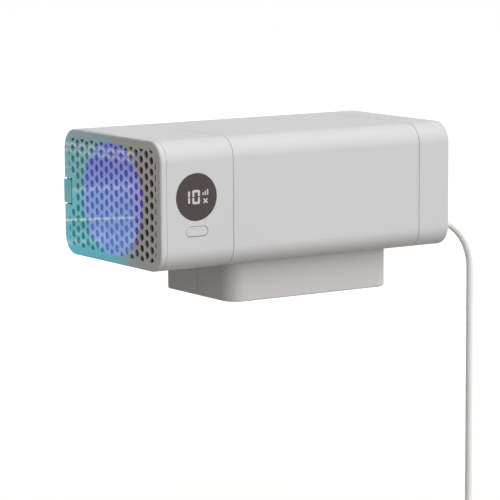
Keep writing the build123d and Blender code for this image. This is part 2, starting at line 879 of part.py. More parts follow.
gland_tip = right_end + gland_length
gland_inner = right_end - wall - 1.5
with BuildPart() as strain_relief:
    with BuildSketch(Plane.XY.offset(high(gland_z))):
        with BuildLine():
            Polyline((gland_inner, mid_y), (gland_inner, mid_y + gland_inner_lip),
                     (right_end - wall, mid_y + gland_inner_lip),
                     (right_end - wall, mid_y + gland_big - gland_groove),
                     (right_end, mid_y + gland_big - gland_groove), (right_end, mid_y + gland_big),
                     (right_end + gland_collar, mid_y + gland_big), (gland_tip, mid_y + gland_small),
                     (gland_tip, mid_y), close=True)
        make_face()
    revolve(axis=Axis((0, mid_y, high(gland_z)), (1, 0, 0)))
    # Flex grooves round the taper
    for step in range(groove_count):
        groove_x = right_end + gland_collar + groove_rib + groove_step * step
        with BuildSketch(across(groove_x)):
            with Locations((mid_y, high(gland_z))):
                Circle(gland_big + 1)
                Circle(cord_radius + gland_groove, mode=Mode.SUBTRACT)
            with Locations((mid_y, high(gland_z))):
                Rectangle(groove_rib, 2 * gland_big + 4, mode=Mode.SUBTRACT)
        extrude(amount=groove_width, mode=Mode.SUBTRACT)

# Section 6: chamber

liner_start = seam_left + ring_half + liner_end_gap
liner_end = seam_right - ring_half - liner_end_gap
liner_floor = inner_floor + gasket_thickness
liner_top = high(liner_height + wall)
uv_lead_x = liner_start + uv_lead_inset

with BuildPart() as chamber_liner:
    block((liner_start, deep(liner_front), liner_floor), (liner_end, deep(liner_back), liner_top))
    block((liner_start + liner_sheet, deep(liner_front + liner_sheet), liner_floor),
          (liner_end - liner_sheet, deep(liner_back - liner_sheet), liner_top - liner_sheet), Mode.SUBTRACT)
    # Air comes in from the fan through a ring of holes in the end
    with BuildSketch(across(liner_start)):
        with Locations((deep((liner_front + liner_back) / 2), 0)):
            Circle(air_hole)
            with PolarLocations(air_ring, air_ring_count):
                Circle(air_ring_hole)
    extrude(amount=liner_sheet, mode=Mode.SUBTRACT)
    with BuildSketch(level(liner_top)):
        with Locations((uv_lead_x, deep((liner_front + liner_back) / 2))):
            Circle(thin_lead_radius + part_gap)
    extrude(amount=-liner_sheet, mode=Mode.SUBTRACT)

with BuildPart() as chamber_gasket:
    with BuildSketch(level(inner_floor)):
        panel((liner_start - gasket_edge, deep(liner_front) - gasket_edge),
              (liner_end + gasket_edge, deep(liner_back) + gasket_edge), 1.0)
        panel(floor_cut_low, floor_cut_high, opening_corner, Mode.SUBTRACT)
    extrude(amount=gasket_thickness)

chamber_x = (liner_start + liner_end) / 2
chamber_y = deep((liner_front + liner_back) / 2)
uv_top = liner_top - liner_sheet

with BuildPart() as uv_board:
    with BuildSketch(level(uv_top - board_thickness)):
        with Locations((chamber_x, chamber_y)):
            RectangleRounded(uv_board_length, uv_board_width, 1.5)
    extrude(amount=board_thickness)

base_inner_front = split_y + part_gap + holder_wall
lower_board_y = base_inner_front + led_height + 0.2
lower_led_x = [holder_left + holder_length / 2 + step * lamp_step for step in (-1, 0, 1)]
lower_led_z = holder_bottom + lamp_height

with BuildPart() as uv_leds:
    for step in range(uv_led_count):
        x = chamber_x + (step - (uv_led_count - 1) / 2) * uv_led_step
        low_z = uv_top - board_thickness - led_height
        block((x - led_side / 2, chamber_y - led_side / 2, low_z),
              (x + led_side / 2, chamber_y + led_side / 2, low_z + led_height))
    for x in lower_led_x:
        block((x - led_side / 2, lower_board_y - led_height, lower_led_z - led_side / 2),
              (x + led_side / 2, lower_board_y, lower_led_z + led_side / 2))

frame_inner = (uv_board_length + 2 * part_gap, uv_board_width + 2 * part_gap)
frame_outer = (frame_inner[0] + 2 * frame_wall, frame_inner[1] + 2 * frame_wall)
with BuildPart() as uv_window_frame:
    with BuildSketch(level(uv_top - window_drop)):
        with Locations((chamber_x, chamber_y)):
            RectangleRounded(*frame_outer, 2.0)
            RectangleRounded(uv_board_length - 2 * frame_lip, uv_board_width - 2 * frame_lip, 1.0,
                             mode=Mode.SUBTRACT)
    extrude(amount=window_drop)
    with BuildSketch(level(uv_top - window_drop + frame_floor)):
        with Locations((chamber_x, chamber_y)):
            RectangleRounded(*frame_inner, 1.6)
    extrude(amount=window_drop, mode=Mode.SUBTRACT)

with BuildPart() as uv_window:
    with BuildSketch(level(uv_top - window_drop + frame_floor)):
        with Locations((chamber_x, chamber_y)):
            RectangleRounded(uv_board_length, uv_board_width, 1.5)
    extrude(amount=window_thickness)

# Section 7: holder tray, grips and base

tray_top = underside - part_gap
tray_floor = holder_bottom + holder_wall
tray_mid_y = holder_front + opening_from_front
flange_low = tray_top - flange_drop
magnet_z = holder_bottom + holder_height / 2
magnet_places = [(holder_left + magnet_from_end, magnet_z), (holder_right - magnet_from_end, magnet_z)]
magnet_block = magnet_radius + magnet_cover


def holder_section(inset):
    # Tray outline with rounded front corners, open to the back where it is inset
    rear = split_y if inset == 0 else split_y + 1
    panel((holder_left + inset, holder_front + inset), (holder_right - inset, rear))
    fillet(vertices().sort_by(Axis.Y)[:2], holder_corner - inset)


with BuildPart() as holder_tray:
    with BuildSketch(level(holder_bottom)):
        holder_section(0)
    extrude(amount=tray_top - holder_bottom)
    fillet(holder_tray.faces().sort_by(Axis.Z)[0].outer_wire().edges(), holder_round)
    with BuildSketch(level(tray_floor)):
        holder_section(holder_wall)
    extrude(amount=holder_height, mode=Mode.SUBTRACT)
    # Openings for the grips
    with BuildSketch(level(holder_bottom)):
        with Locations((brush_x, tray_mid_y)):
            RectangleRounded(*brush_cut, opening_corner)
        with Locations((razor_x, tray_mid_y)):
            RectangleRounded(*razor_cut, opening_corner)
    extrude(amount=holder_wall, mode=Mode.SUBTRACT)
    # Flanges that ride on the rails
    for side in (-1, 1):
        edge = holder_left + holder_wall if side < 0 else holder_right - holder_wall
        low_x, high_x = sorted((edge + side * slip, edge - side * rail_ledge))
        block((low_x, holder_front + holder_corner, flange_low), (high_x, split_y, tray_top - flange_thin))
    # Corner blocks that hold the magnets
    for x, z in magnet_places:
        outer = holder_left + holder_wall - slip if x < 0 else holder_right - holder_wall + slip
        low_x, high_x = sorted((outer, x + (magnet_block if x < 0 else -magnet_block)))
        block((low_x, split_y - magnet_block, z - magnet_block), (high_x, split_y, z + magnet_block))
        rod(facing(split_y), (x, z), magnet_radius + pilot_play, magnet_thickness + 0.1, Mode.SUBTRACT)


def grip(x, cut, hole):
    # Silicone lip: a flange over the tray's floor and a slit membrane in the opening
    outer = (cut[0] - 2 * slip, cut[1] - 2 * slip, opening_corner - slip)
    inner = (outer[0] - 2 * grip_wall, outer[1] - 2 * grip_wall, outer[2] - grip_wall)
    with BuildPart() as shape:
        with BuildSketch(level(holder_bottom + grip_recess)):
            with Locations((x, tray_mid_y)):
                RectangleRounded(*outer)
                RectangleRounded(*inner, mode=Mode.SUBTRACT)
        extrude(amount=holder_wall - grip_recess)
        with BuildSketch(level(tray_floor)):
            with Locations((x, tray_mid_y)):
                RectangleRounded(outer[0] + 2 * grip_wall, outer[1] + 2 * grip_wall, outer[2] + grip_wall)
                RectangleRounded(*inner, mode=Mode.SUBTRACT)
        extrude(amount=grip_lip)
        with BuildSketch(level(holder_bottom + grip_recess)):
            with Locations((x, tray_mid_y)):
                RectangleRounded(cut[0] - grip_wall, cut[1] - grip_wall, grip_corner)
                RectangleRounded(*hole, grip_corner, mode=Mode.SUBTRACT)
            for angle in (45, 135):
                with Locations(Location((x, tray_mid_y, 0), (0, 0, angle))):
                    Rectangle(sqrt(hole[0] ** 2 + hole[1] ** 2) + slit_reach, slit, mode=Mode.SUBTRACT)
            with Locations((x, tray_mid_y)):
                Rectangle(hole[0] + slit_reach, slit, mode=Mode.SUBTRACT)
                Rectangle(slit, hole[1] + slit_reach, mode=Mode.SUBTRACT)
        extrude(amount=membrane)
    return shape


toothbrush_grip = grip(brush_x, brush_cut, brush_hole)
razor_grip = grip(razor_x, razor_cut, razor_hole)

with BuildPart() as tray_magnets:
    for place in magnet_places:
        rod(facing(split_y - 0.05), place, magnet_radius, magnet_thickness)

with BuildPart() as tray_rails:
    for side in (-1, 1):
        tip = holder_left + holder_wall + part_gap if side < 0 else holder_right - holder_wall - part_gap
        web = tip - side * rail_ledge
        low_x, high_x = sorted((web, web - side * rail_web))
        block((low_x, holder_front + holder_corner + 1, underside - rail_drop),
              (high_x, split_y - rail_end, underside))
        low_x, high_x = sorted((tip, web - side * slip))
        block((low_x, holder_front + holder_corner + 1, underside - rail_drop),
              (high_x, split_y - rail_end, flange_low - part_gap))

base_front = split_y + part_gap

with BuildPart() as holder_base:
    block((holder_left, base_front, holder_bottom), (holder_right, holder_back, underside))
    fillet(holder_base.faces().sort_by(Axis.Z)[0].outer_wire().edges(), holder_round)
    block((holder_left + holder_wall, base_inner_front, tray_floor),
          (holder_right - holder_wall, holder_back - holder_wall, underside), Mode.SUBTRACT)
    for place in base_posts:
        rod(level(tray_floor - slip), place, base_post_radius, underside - tray_floor + slip)
        rod(level(underside), place, pilot_radius, -base_pilot_depth, Mode.SUBTRACT)
    # Thicker front wall round the magnets, and windows for the lower lamps
    for place in magnet_places:
        rod(facing(base_inner_front - slip), place, magnet_block, -slip - grip_seat)
        rod(facing(base_front), place, magnet_radius + pilot_play, -magnet_thickness - 0.1, Mode.SUBTRACT)
    with BuildSketch(facing(base_front)):
        with Locations(*[(x, lower_led_z) for x in lower_led_x]):
            RectangleRounded(lamp_window, lamp_window, 1.0)
    extrude(amount=-holder_wall, mode=Mode.SUBTRACT)

with BuildPart() as base_magnets:
    for place in magnet_places:
        rod(facing(base_front + 0.05), place, magnet_radius, -magnet_thickness)

with BuildPart() as lower_uv_board:
    block((lower_led_x[0] - lower_board_end, lower_board_y, tray_floor),
          (lower_led_x[-1] + lower_board_end, lower_board_y + board_thickness,
           tray_floor + lower_board_height))

base_screw = pan_screw(wall + base_pilot_depth - 1)
with BuildPart() as base_screws:
    for x, y in base_posts:
        add(base_screw.moved(Location((x, y, inner_floor))))

with BuildPart() as rear_bumpers:
    with BuildSketch(facing(back)):
        with Locations((along(bumper_from_end), high(bumper_height)),
                       (right_end - bumper_from_end, high(bumper_height))):
            Circle(bumper_radius)
    extrude(amount=-(wall_gap - part_gap))

# Section 8: wires inside the body


def wire(points, radius, bend):
    # Round wire along straight runs joined by arcs
    with BuildPart() as shape:
        with BuildLine() as path:
            FilletPolyline(*points, radius=bend)
        with BuildSketch(path.line ^ 0):
            Circle(radius)
        sweep()
    return shape


power_x, power_z = plug_places["power"]
power_lead = wire([(power_board_x - plug_depth, lane_y, lane_z), (power_x, lane_y, lane_z),
                   (power_x, plug_rear, power_z)], lead_radius, 4.0)

fan_x, fan_z = plug_places["fan"]
fan_lead_x = shroud_end + thin_lead_radius + slip
fan_lead = wire([(fan_lead_x, fan_y - fan_lead_start, -fan_lead_start),
                 (fan_lead_x, fan_y - fan_lead_low, fan_z),
                 (fan_x, fan_y - fan_lead_front, fan_z),
                 (fan_x, plug_rear, fan_z)], thin_lead_radius, 1.8)

lamps_x, lamps_z = plug_places["lamps"]
rise_x = (seam_left + web_thickness / 2 + liner_start) / 2
over_liner = (liner_top + inner_ceiling) / 2
with BuildPart() as uv_leads:
    add(wire([(lamps_x, plug_rear, lamps_z), (lamps_x, chamber_y, lamps_z), (rise_x, chamber_y, lamps_z),
              (rise_x, chamber_y, over_liner), (uv_lead_x, chamber_y, over_liner),
              (uv_lead_x, chamber_y, uv_top)], thin_lead_radius, 2.0).part)
    add(wire([(lower_led_x[1], lower_board_y + board_thickness, lower_led_z),
              (lower_led_x[1], lead_hole_y, lower_led_z),
              (lower_led_x[1], lead_hole_y, lane_z),
              (lower_led_x[1], lane_y - lead_radius - slip, lane_z)], thin_lead_radius, 3.0).part)

# Section 9: wall plate and pad

plate_front = -pad_thickness - plate_thickness
lip_back = inner_back - part_gap
with BuildPart() as wall_plate:
    with BuildSketch(facing(-pad_thickness)):
        RectangleRounded(plate_length, plate_height, plate_corner)
    extrude(amount=plate_thickness)
    fillet(wall_plate.faces().sort_by(Axis.Y)[0].outer_wire().edges(), plate_round)
    for x in (-hook_spacing / 2, hook_spacing / 2):
        block((x - hook_width / 2, lip_back - hook_lip_thickness, hook_z - hook_thickness),
              (x + hook_width / 2, plate_front + 0.5, hook_z))
        block((x - hook_width / 2, lip_back - hook_lip_thickness, hook_z - hook_thickness),
              (x + hook_width / 2, lip_back, hook_z + hook_lip))
    with Locations(*[facing(plate_front) * Location((x, 0, 0))
                     for x in (-wall_screw_spacing / 2, wall_screw_spacing / 2)]):
        CounterSinkHole(wall_hole_radius, wall_screw_head, plate_thickness)

with BuildPart() as adhesive_pad:
    with BuildSketch(facing(0)):
        RectangleRounded(plate_length - 2 * pad_inset, plate_height - 2 * pad_inset,
                         plate_corner - pad_inset)
        with Locations((-wall_screw_spacing / 2, 0), (wall_screw_spacing / 2, 0)):
            Circle(wall_screw_head + slip, mode=Mode.SUBTRACT)
    extrude(amount=pad_thickness)

# Section 10: cord, coil, tie and plug

cord_x = along(cord_reach)
coil_z = high(-coil_drop)
outer_turn = inner_turn + half_turns * turn_pitch / 2
coil_x = cord_x - outer_turn
stub = 2 * cord_radius

cord_route = [
    (gland_tip, mid_y, high(gland_z)),
    (along(bend_reach), mid_y, high(gland_z)),
    (cord_x, mid_y, high(-bend_drop)),
    (cord_x, mid_y, coil_z + stub),
]


def corner_radii(points):
    # Largest arc that each corner's shorter run allows
    radii = []
    for before, corner, after in zip(points, points[1:], points[2:]):
        first = Vector(*corner) - Vector(*before)
        second = Vector(*after) - Vector(*corner)
        half = radians(first.get_angle(second)) / 2
        radii.append(corner_share * min(first.length, second.length) / tan(half))
    return radii


bends = corner_radii(cord_route)
with BuildPart() as cord_run:
    with BuildLine() as run_path:
        FilletPolyline(*cord_route, radius=bends)
    with BuildSketch(run_path.line ^ 0):
        Circle(cord_radius)
    sweep()


def coil_points():
    # Ends of the half turns: in, out, in and out again over four layers
    points = [(outer_turn, 0)]
    turn = outer_turn
    for layer in range(coil_layers):
        inwards = layer % 2 == 0
        steps = half_turns + (1 if layer == coil_layers - 1 else 0)
        for _ in range(steps):
            turn += -turn_pitch / 2 if inwards else turn_pitch / 2
            points.append((turn, layer))
        if layer < coil_layers - 1:
            points.append((turn, layer + 1))
    return points


turn_radii_top = []
with BuildPart() as cord_coil:
    with BuildLine() as coil_path:
        ends = coil_points()
        places = []
        for index, (turn, layer) in enumerate(ends):
            side = 1 if index % 2 == 0 else -1
            places.append(Vector(coil_x + side * turn, mid_y + layer * layer_pitch, coil_z))
        Line(places[0] + Vector(0, 0, stub), places[0])
        for index, (start, end) in enumerate(zip(places, places[1:])):
            reach = (end - start).length / 2
            side = -1 if index % 2 == 0 else 1
            if side > 0:
                turn_radii_top.append(reach)
            middle = (start + end) * 0.5 + Vector(0, 0, side * reach)
            ThreePointArc(start, middle, end)
        Line(places[-1], places[-1] - Vector(0, 0, stub))
    with BuildSketch(coil_path.line ^ 0):
        Circle(cord_radius)
    sweep()

tail_x = places[-1].X
tail_y = places[-1].Y
tail_top = coil_z - stub
with BuildPart() as cord_tail:
    rod(level(tail_top), (tail_x, tail_y), cord_radius, -tail_length)

tie_low = coil_z + min(turn_radii_top) - cord_radius - 2 * tie_play
tie_high = coil_z + max(turn_radii_top) + cord_radius + tie_play
tie_front = mid_y - cord_radius - tie_play
tie_rear = mid_y + (coil_layers - 1) * layer_pitch + cord_radius + tie_play
with BuildPart() as cord_tie:
    with BuildSketch(across(coil_x - tie_width / 2)):
        panel((tie_front - tie_thickness, tie_low - tie_thickness),
              (tie_rear + tie_thickness, tie_high + tie_thickness), tie_corner + tie_thickness)
        panel((tie_front, tie_low), (tie_rear, tie_high), tie_corner, Mode.SUBTRACT)
    extrude(amount=tie_width)

plug_top = tail_top - tail_length
with BuildPart() as plug_body:
    with BuildSketch(level(plug_top)):
        with Locations((tail_x, tail_y)):
            RectangleRounded(plug_size[0], plug_size[1], plug_corner)
    extrude(amount=-plug_size[2])
    fillet(plug_body.faces().sort_by(Axis.Z)[-1].edges(), plug_round)

shell_top = plug_top - plug_size[2]
with BuildPart() as plug_shell:
    with BuildSketch(level(shell_top)):
        with Locations((tail_x, tail_y)):
            RectangleRounded(shell_size[0], shell_size[1], 0.4)
    extrude(amount=-shell_size[2])
    with BuildSketch(level(shell_top - 1.0)):
        with Locations((tail_x, tail_y)):
            Rectangle(shell_size[0] - 2 * shell_sheet, shell_size[1] - 2 * shell_sheet)
    extrude(amount=-shell_size[2], mode=Mode.SUBTRACT)
    block((tail_x - shell_size[0] / 2 + shell_sheet + 0.3, tail_y - shell_size[1] / 2 + shell_sheet + 0.3,
           shell_top - shell_size[2] + 0.5),
          (tail_x + shell_size[0] / 2 - shell_sheet - 0.3, tail_y, shell_top))

pieces = {
    "left_housing": left_housing,
    "middle_housing": middle_housing,
    "right_cap": right_cap,
    "left_bulkhead": left_bulkhead,
    "right_bulkhead": right_bulkhead,
    "housing_screws": housing_screws,
    "end_grille": end_grille,
    "dust_filter": dust_filter,
    "pull_tab": pull_tab,
    "tab_pin": tab_pin,
    "fan_shroud": fan_shroud,
    "fan_bearing": fan_bearing,
    "fan_stator": fan_stator,
    "fan_screws": fan_screws,
    "fan_rotor": fan_rotor,
    "fan_shaft": fan_shaft,
    "rotor_magnet": rotor_magnet,
    "light_guide": light_guide,
    "light_board": light_board,
    "light_leds": light_leds,
    "display_lens": display_lens,
    "display_digits": display_digits,
    "display_module": display_module,
    "button_cap": button_cap,
    "switch_plunger": switch_plunger,
    "switch_body": switch_body,
    "control_board": control_board,
    "control_chips": control_chips,
    "board_screws": board_screws,
    "power_board": power_board,
    "power_parts": power_parts,
    "strain_relief": strain_relief,
    "chamber_liner": chamber_liner,
    "chamber_gasket": chamber_gasket,
    "uv_board": uv_board,
    "uv_leds": uv_leds,
    "uv_window_frame": uv_window_frame,
    "uv_window": uv_window,
    "holder_tray": holder_tray,
    "toothbrush_grip": toothbrush_grip,
    "razor_grip": razor_grip,
    "tray_magnets": tray_magnets,
    "tray_rails": tray_rails,
    "holder_base": holder_base,
    "base_magnets": base_magnets,
    "lower_uv_board": lower_uv_board,
    "base_screws": base_screws,
    "rear_bumpers": rear_bumpers,
    "power_lead": power_lead,
    "fan_lead": fan_lead,
    "uv_leads": uv_leads,
    "wall_plate": wall_plate,
    "adhesive_pad": adhesive_pad,
    "cord_run": cord_run,
    "cord_coil": cord_coil,
    "cord_tail": cord_tail,
    "cord_tie": cord_tie,
    "plug_body": plug_body,
    "plug_shell": plug_shell,
}

for name, piece in pieces.items():
    piece.part.label = name
    export_step(piece.part, f"parts/{name}.step")


def least_self_gap(line, radius, samples):
    # Smallest distance between stretches of a tube that aren't neighbours along it
    points = [line.position_at(step / samples) for step in range(samples + 1)]
    step_length = line.length / samples
    skip = int(4 * pi * radius / step_length) + 1
    least = min((a - b).length for i, a in enumerate(points) for b in points[i + skip:])
    return least - 2 * radius


section = pi * cord_radius ** 2
print("cord bend radii", [round(value, 1) for value in bends])
run_wire = run_path.wire()
coil_wire = coil_path.wire()
print("cord run", round(run_wire.length, 1), "volume share",
      round(cord_run.part.volume / (section * run_wire.length), 4))
print("coil", round(coil_wire.length, 1), "volume share",
      round(cord_coil.part.volume / (section * coil_wire.length), 4))
print("coil least gap to itself", round(least_self_gap(coil_wire, cord_radius, 900), 2))
print("cord length", round(run_wire.length + coil_wire.length + tail_length, 1))
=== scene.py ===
# Wall-hung bathroom steriliser with a lit fan at one end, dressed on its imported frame
import json
import math
import bpy
from mathutils import Matrix, Vector


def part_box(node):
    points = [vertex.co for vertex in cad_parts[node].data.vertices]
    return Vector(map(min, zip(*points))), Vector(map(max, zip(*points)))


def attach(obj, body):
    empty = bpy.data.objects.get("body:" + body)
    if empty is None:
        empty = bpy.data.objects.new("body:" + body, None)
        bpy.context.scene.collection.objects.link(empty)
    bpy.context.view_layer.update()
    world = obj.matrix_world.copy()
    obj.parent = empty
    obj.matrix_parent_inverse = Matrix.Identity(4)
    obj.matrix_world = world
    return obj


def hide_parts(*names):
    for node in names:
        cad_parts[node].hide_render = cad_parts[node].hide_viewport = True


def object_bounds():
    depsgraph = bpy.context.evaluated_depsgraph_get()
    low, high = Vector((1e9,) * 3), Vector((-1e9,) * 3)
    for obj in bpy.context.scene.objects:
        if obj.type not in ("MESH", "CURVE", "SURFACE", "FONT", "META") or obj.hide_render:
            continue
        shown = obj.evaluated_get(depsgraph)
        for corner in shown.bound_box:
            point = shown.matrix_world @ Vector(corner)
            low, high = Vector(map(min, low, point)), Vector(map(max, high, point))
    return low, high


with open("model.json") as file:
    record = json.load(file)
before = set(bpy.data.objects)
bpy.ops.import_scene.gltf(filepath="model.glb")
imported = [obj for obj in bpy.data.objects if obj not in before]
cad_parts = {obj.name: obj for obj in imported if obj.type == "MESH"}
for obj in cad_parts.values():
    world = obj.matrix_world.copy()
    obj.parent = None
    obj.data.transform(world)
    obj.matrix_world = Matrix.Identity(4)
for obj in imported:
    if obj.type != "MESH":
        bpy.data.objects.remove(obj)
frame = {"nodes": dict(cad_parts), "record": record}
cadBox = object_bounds()
bodies = frame["record"]["behaviour"]["bodies"]
bodyOf = {node: body for body, nodes in bodies.items() for node in nodes}
print("frame loaded:", len(frame["nodes"]), "nodes")


def mm(*values):
    # millimetres to metres, one number or a point
    metres = [value / 1000 for value in values]
    return metres[0] if len(metres) == 1 else tuple(metres)


def perMm(size):
    # texture scale that gives a feature of this size in millimetres
    return 1000.0 / size


def clearSelection():
    bpy.ops.object.select_all(action='DESELECT')


# Camera, at the angle that the product is pictured from
cameraView = {
    "turnDeg": -33.511,
    "tiltDeg": 8.051,
    "rollDeg": -0.302,
    "placeMm": (-733.95, -1149.0, 156.6),
    "lensMm": 199.73,
    "sensorMm": 36.0,
    "nearClipM": 0.05,
}


def placeCamera():
    clearSelection()
    bpy.ops.object.camera_add()
    camera = bpy.context.object
    camera.name = "productCamera"
    camera.data.lens = cameraView["lensMm"]
    camera.data.sensor_width = cameraView["sensorMm"]
    camera.data.clip_start = cameraView["nearClipM"]
    turn = Matrix.Rotation(math.radians(cameraView["turnDeg"]), 4, 'Z')
    tilt = Matrix.Rotation(math.radians(90 - cameraView["tiltDeg"]), 4, 'X')
    roll = Matrix.Rotation(math.radians(cameraView["rollDeg"]), 4, 'Z')
    camera.matrix_world = Matrix.Translation(mm(*cameraView["placeMm"])) @ turn @ tilt @ roll
    bpy.context.scene.camera = camera


placeCamera()
print("camera placed")


# Material helpers

# Options of the sums, steps and mixes that the patterns are made from. Their sockets go by number: in a step
# the value, where it starts, where it ends and the result at each, in a colour mix the amount, then 6 and 7.
times = {"operation": 'MULTIPLY'}
timesPlus = {"operation": 'MULTIPLY_ADD'}
plus = {"operation": 'ADD'}
minus = {"operation": 'SUBTRACT'}
over = {"operation": 'DIVIDE'}
root = {"operation": 'SQRT'}
unsigned = {"operation": 'ABSOLUTE'}
larger = {"operation": 'MAXIMUM'}
below = {"operation": 'LESS_THAN'}
smooth = {"interpolation_type": 'SMOOTHSTEP'}
asColor = {"data_type": 'RGBA'}
asNumber = {"data_type": 'FLOAT'}


def toLinear(hexColor):
    # sRGB hex to linear RGBA
    channels = [int(hexColor[i:i + 2], 16) / 255 for i in (1, 3, 5)]
    linear = [c / 12.92 if c <= 0.04045 else ((c + 0.055) / 1.055) ** 2.4 for c in channels]
    return (*linear, 1.0)


def darker(hexColor, share):
    return tuple(c * (1 - share) for c in toLinear(hexColor)[:3]) + (1.0,)


def fillInputs(tree, node, inputs):
    # numbers and colours are set on their sockets, and sockets are linked, as is a node's first live output
    for socket, value in inputs.items():
        if isinstance(value, bpy.types.Node):
            value = next(output for output in value.outputs if output.enabled)
        if isinstance(value, bpy.types.NodeSocket):
            tree.links.new(value, node.inputs[socket])
        else:
            node.inputs[socket].default_value = value


def addNode(tree, kind, settings=None, inputs=None):
    # one node with its options set, and its inputs filled or linked
    node = tree.nodes.new("ShaderNode" + kind)
    for option, value in (settings or {}).items():
        setattr(node, option, value)
    fillInputs(tree, node, inputs or {})
    return node


def startMaterial(name, colorHex, roughness, **shaderValues):
    # a Principled surface, and the object's own coordinates for its patterns
    material = bpy.data.materials.new(name)
    material.use_nodes = True
    material.diffuse_color = toLinear(colorHex)
    tree = material.node_tree
    tree.nodes.clear()
    values = {socket.replace("_", " "): value for socket, value in shaderValues.items()}
    shader = addNode(tree, "BsdfPrincipled", None,
                     {"Base Color": toLinear(colorHex), "Roughness": roughness, **values})
    addNode(tree, "OutputMaterial", None, {"Surface": shader})
    place = addNode(tree, "TexCoord").outputs["Object"]
    return material, tree, shader, place


# Tool finish of the moulded pieces
grainLook = {"sizeMm": 0.8, "depthMm": 0.02, "pitStrength": 0.35, "flowMm": 38, "glossDown": 0.04,
             "glossUp": 0.05}
absGloss = {"IOR": 1.53, "Specular_IOR_Level": 0.12}
unlit = toLinear("#000000")


def mouldGrain(tree, shader, place, colorHex, grainMm, depthMm, roughness, shade=0.03):
    # spark-eroded tool finish: fine pits, and the slow drift of shade and gloss that moulding leaves
    grain = addNode(tree, "TexNoise", None,
                    {"Vector": place, "Scale": perMm(grainMm), "Detail": 4.0, "Roughness": 0.6})
    flow = addNode(tree, "TexNoise", None,
                   {"Vector": place, "Scale": perMm(grainLook["flowMm"]), "Detail": 2.0, "Roughness": 0.5})
    pits = addNode(tree, "Bump", None,
                   {"Strength": grainLook["pitStrength"], "Distance": mm(depthMm), "Height": grain})
    tinted = addNode(tree, "Mix", asColor, {0: flow, 6: toLinear(colorHex), 7: darker(colorHex, shade)})
    gloss = addNode(tree, "MapRange", smooth,
                    {0: grain, 1: 0.3, 2: 0.7, 3: roughness - grainLook["glossDown"],
                     4: roughness + grainLook["glossUp"]})
    fillInputs(tree, shader, {"Normal": pits, "Base Color": tinted, "Roughness": gloss})
    return tinted


# The grille's plastic, and the painted light that stands in for the fan's ring lighting it: strengths,
# places and colours
glowLook = {
    "plastic": "#dcdcdc",
    "webStrength": 0.45,
    "wallStrength": 0.45,
    "foamStrength": 0.9,
    "discRadiusMm": 26.4,
    "discEdgeMm": 0.9,
    "discTint": 0.85,
    "webTop": "#8480d6",
    "webBottom": "#a2bcf4",
    "webCloud": "#6fa0e8",
    "cloudMm": 14,
    "holeTop": "#3f4a90",
    "holeBottom": "#627cbc",
    "holeFront": "#52268c",
    "tealTop": "#6eaab2",
    "tealBottom": "#3fb9cb",
    "tealHole": "#35898c",
    "tealTint": 0.7,
    "tealLean": 0.175,
    "boreShade": 0.4,
    "fieldMarginMm": 4.0,
    # height, half width, strength and climb towards the front
    "streaksMm": [(22.6, 0.7, 0.6, 0.0), (19.6, 0.6, 0.5, 0.0), (-0.6, 0.8, 0.3, 0.125),
                  (-15.0, 0.45, 1.0, 0.125)],
    # colours of the painted glare streaks, on the webs and in the holes
    "streakColor": "#f1f6ff",
    "streakInHole": "#bcd3e7",
    "streakGrainMm": 3.0,
    "streakStretch": 20,
    "bandMm": 15.0,
}


def streakMasks(tree, parts, across, up):
    # painted glare: thin bright streaks in place of a reflection, which end before the grey side and the top
    # edge, and slow bands of more and less painted light
    streak = 0.0
    for heightMm, halfMm, strength, slope in glowLook["streaksMm"]:
        climb = addNode(tree, "Math", timesPlus, {0: parts.outputs["Y"], 1: slope, 2: parts.outputs["Z"]})
        offset = addNode(tree, "Math", minus, {0: climb, 1: mm(heightMm)})
        away = addNode(tree, "Math", unsigned, {0: offset})
        line = addNode(tree, "MapRange", smooth,
                       {0: away, 1: mm(halfMm * 2), 2: mm(halfMm * 0.5), 3: 0.0, 4: strength})
        streak = addNode(tree, "Math", larger, {0: streak, 1: line})
    stretched = addNode(tree, "Math", times, {0: parts.outputs["Y"], 1: 1 / glowLook["streakStretch"]})
    flow = addNode(tree, "CombineXYZ", None, {"X": 0.0, "Y": stretched, "Z": climb})
    grain = addNode(tree, "TexNoise", None,
                    {"Vector": flow, "Scale": perMm(glowLook["streakGrainMm"]), "Detail": 2.0})
    band = addNode(tree, "TexNoise", None,
                   {"Vector": flow, "Scale": perMm(glowLook["bandMm"]), "Detail": 1.0})
    fine = addNode(tree, "MapRange", smooth, {0: grain, 1: 0.52, 2: 0.72, 3: 0.0, 4: 0.3})
    streak = addNode(tree, "Math", larger, {0: streak, 1: fine})
    pastGrey = addNode(tree, "MapRange", smooth, {0: across, 1: -0.6, 2: -0.3})
    streak = addNode(tree, "Math", times, {0: streak, 1: pastGrey})
    underEdge = addNode(tree, "MapRange", smooth, {0: up, 1: 0.84, 2: 0.78})
    streak = addNode(tree, "Math", times, {0: streak, 1: underEdge})
    level = addNode(tree, "MapRange", smooth, {0: band, 1: 0.35, 2: 0.65, 3: 0.8, 4: 1.12})
    return streak, level


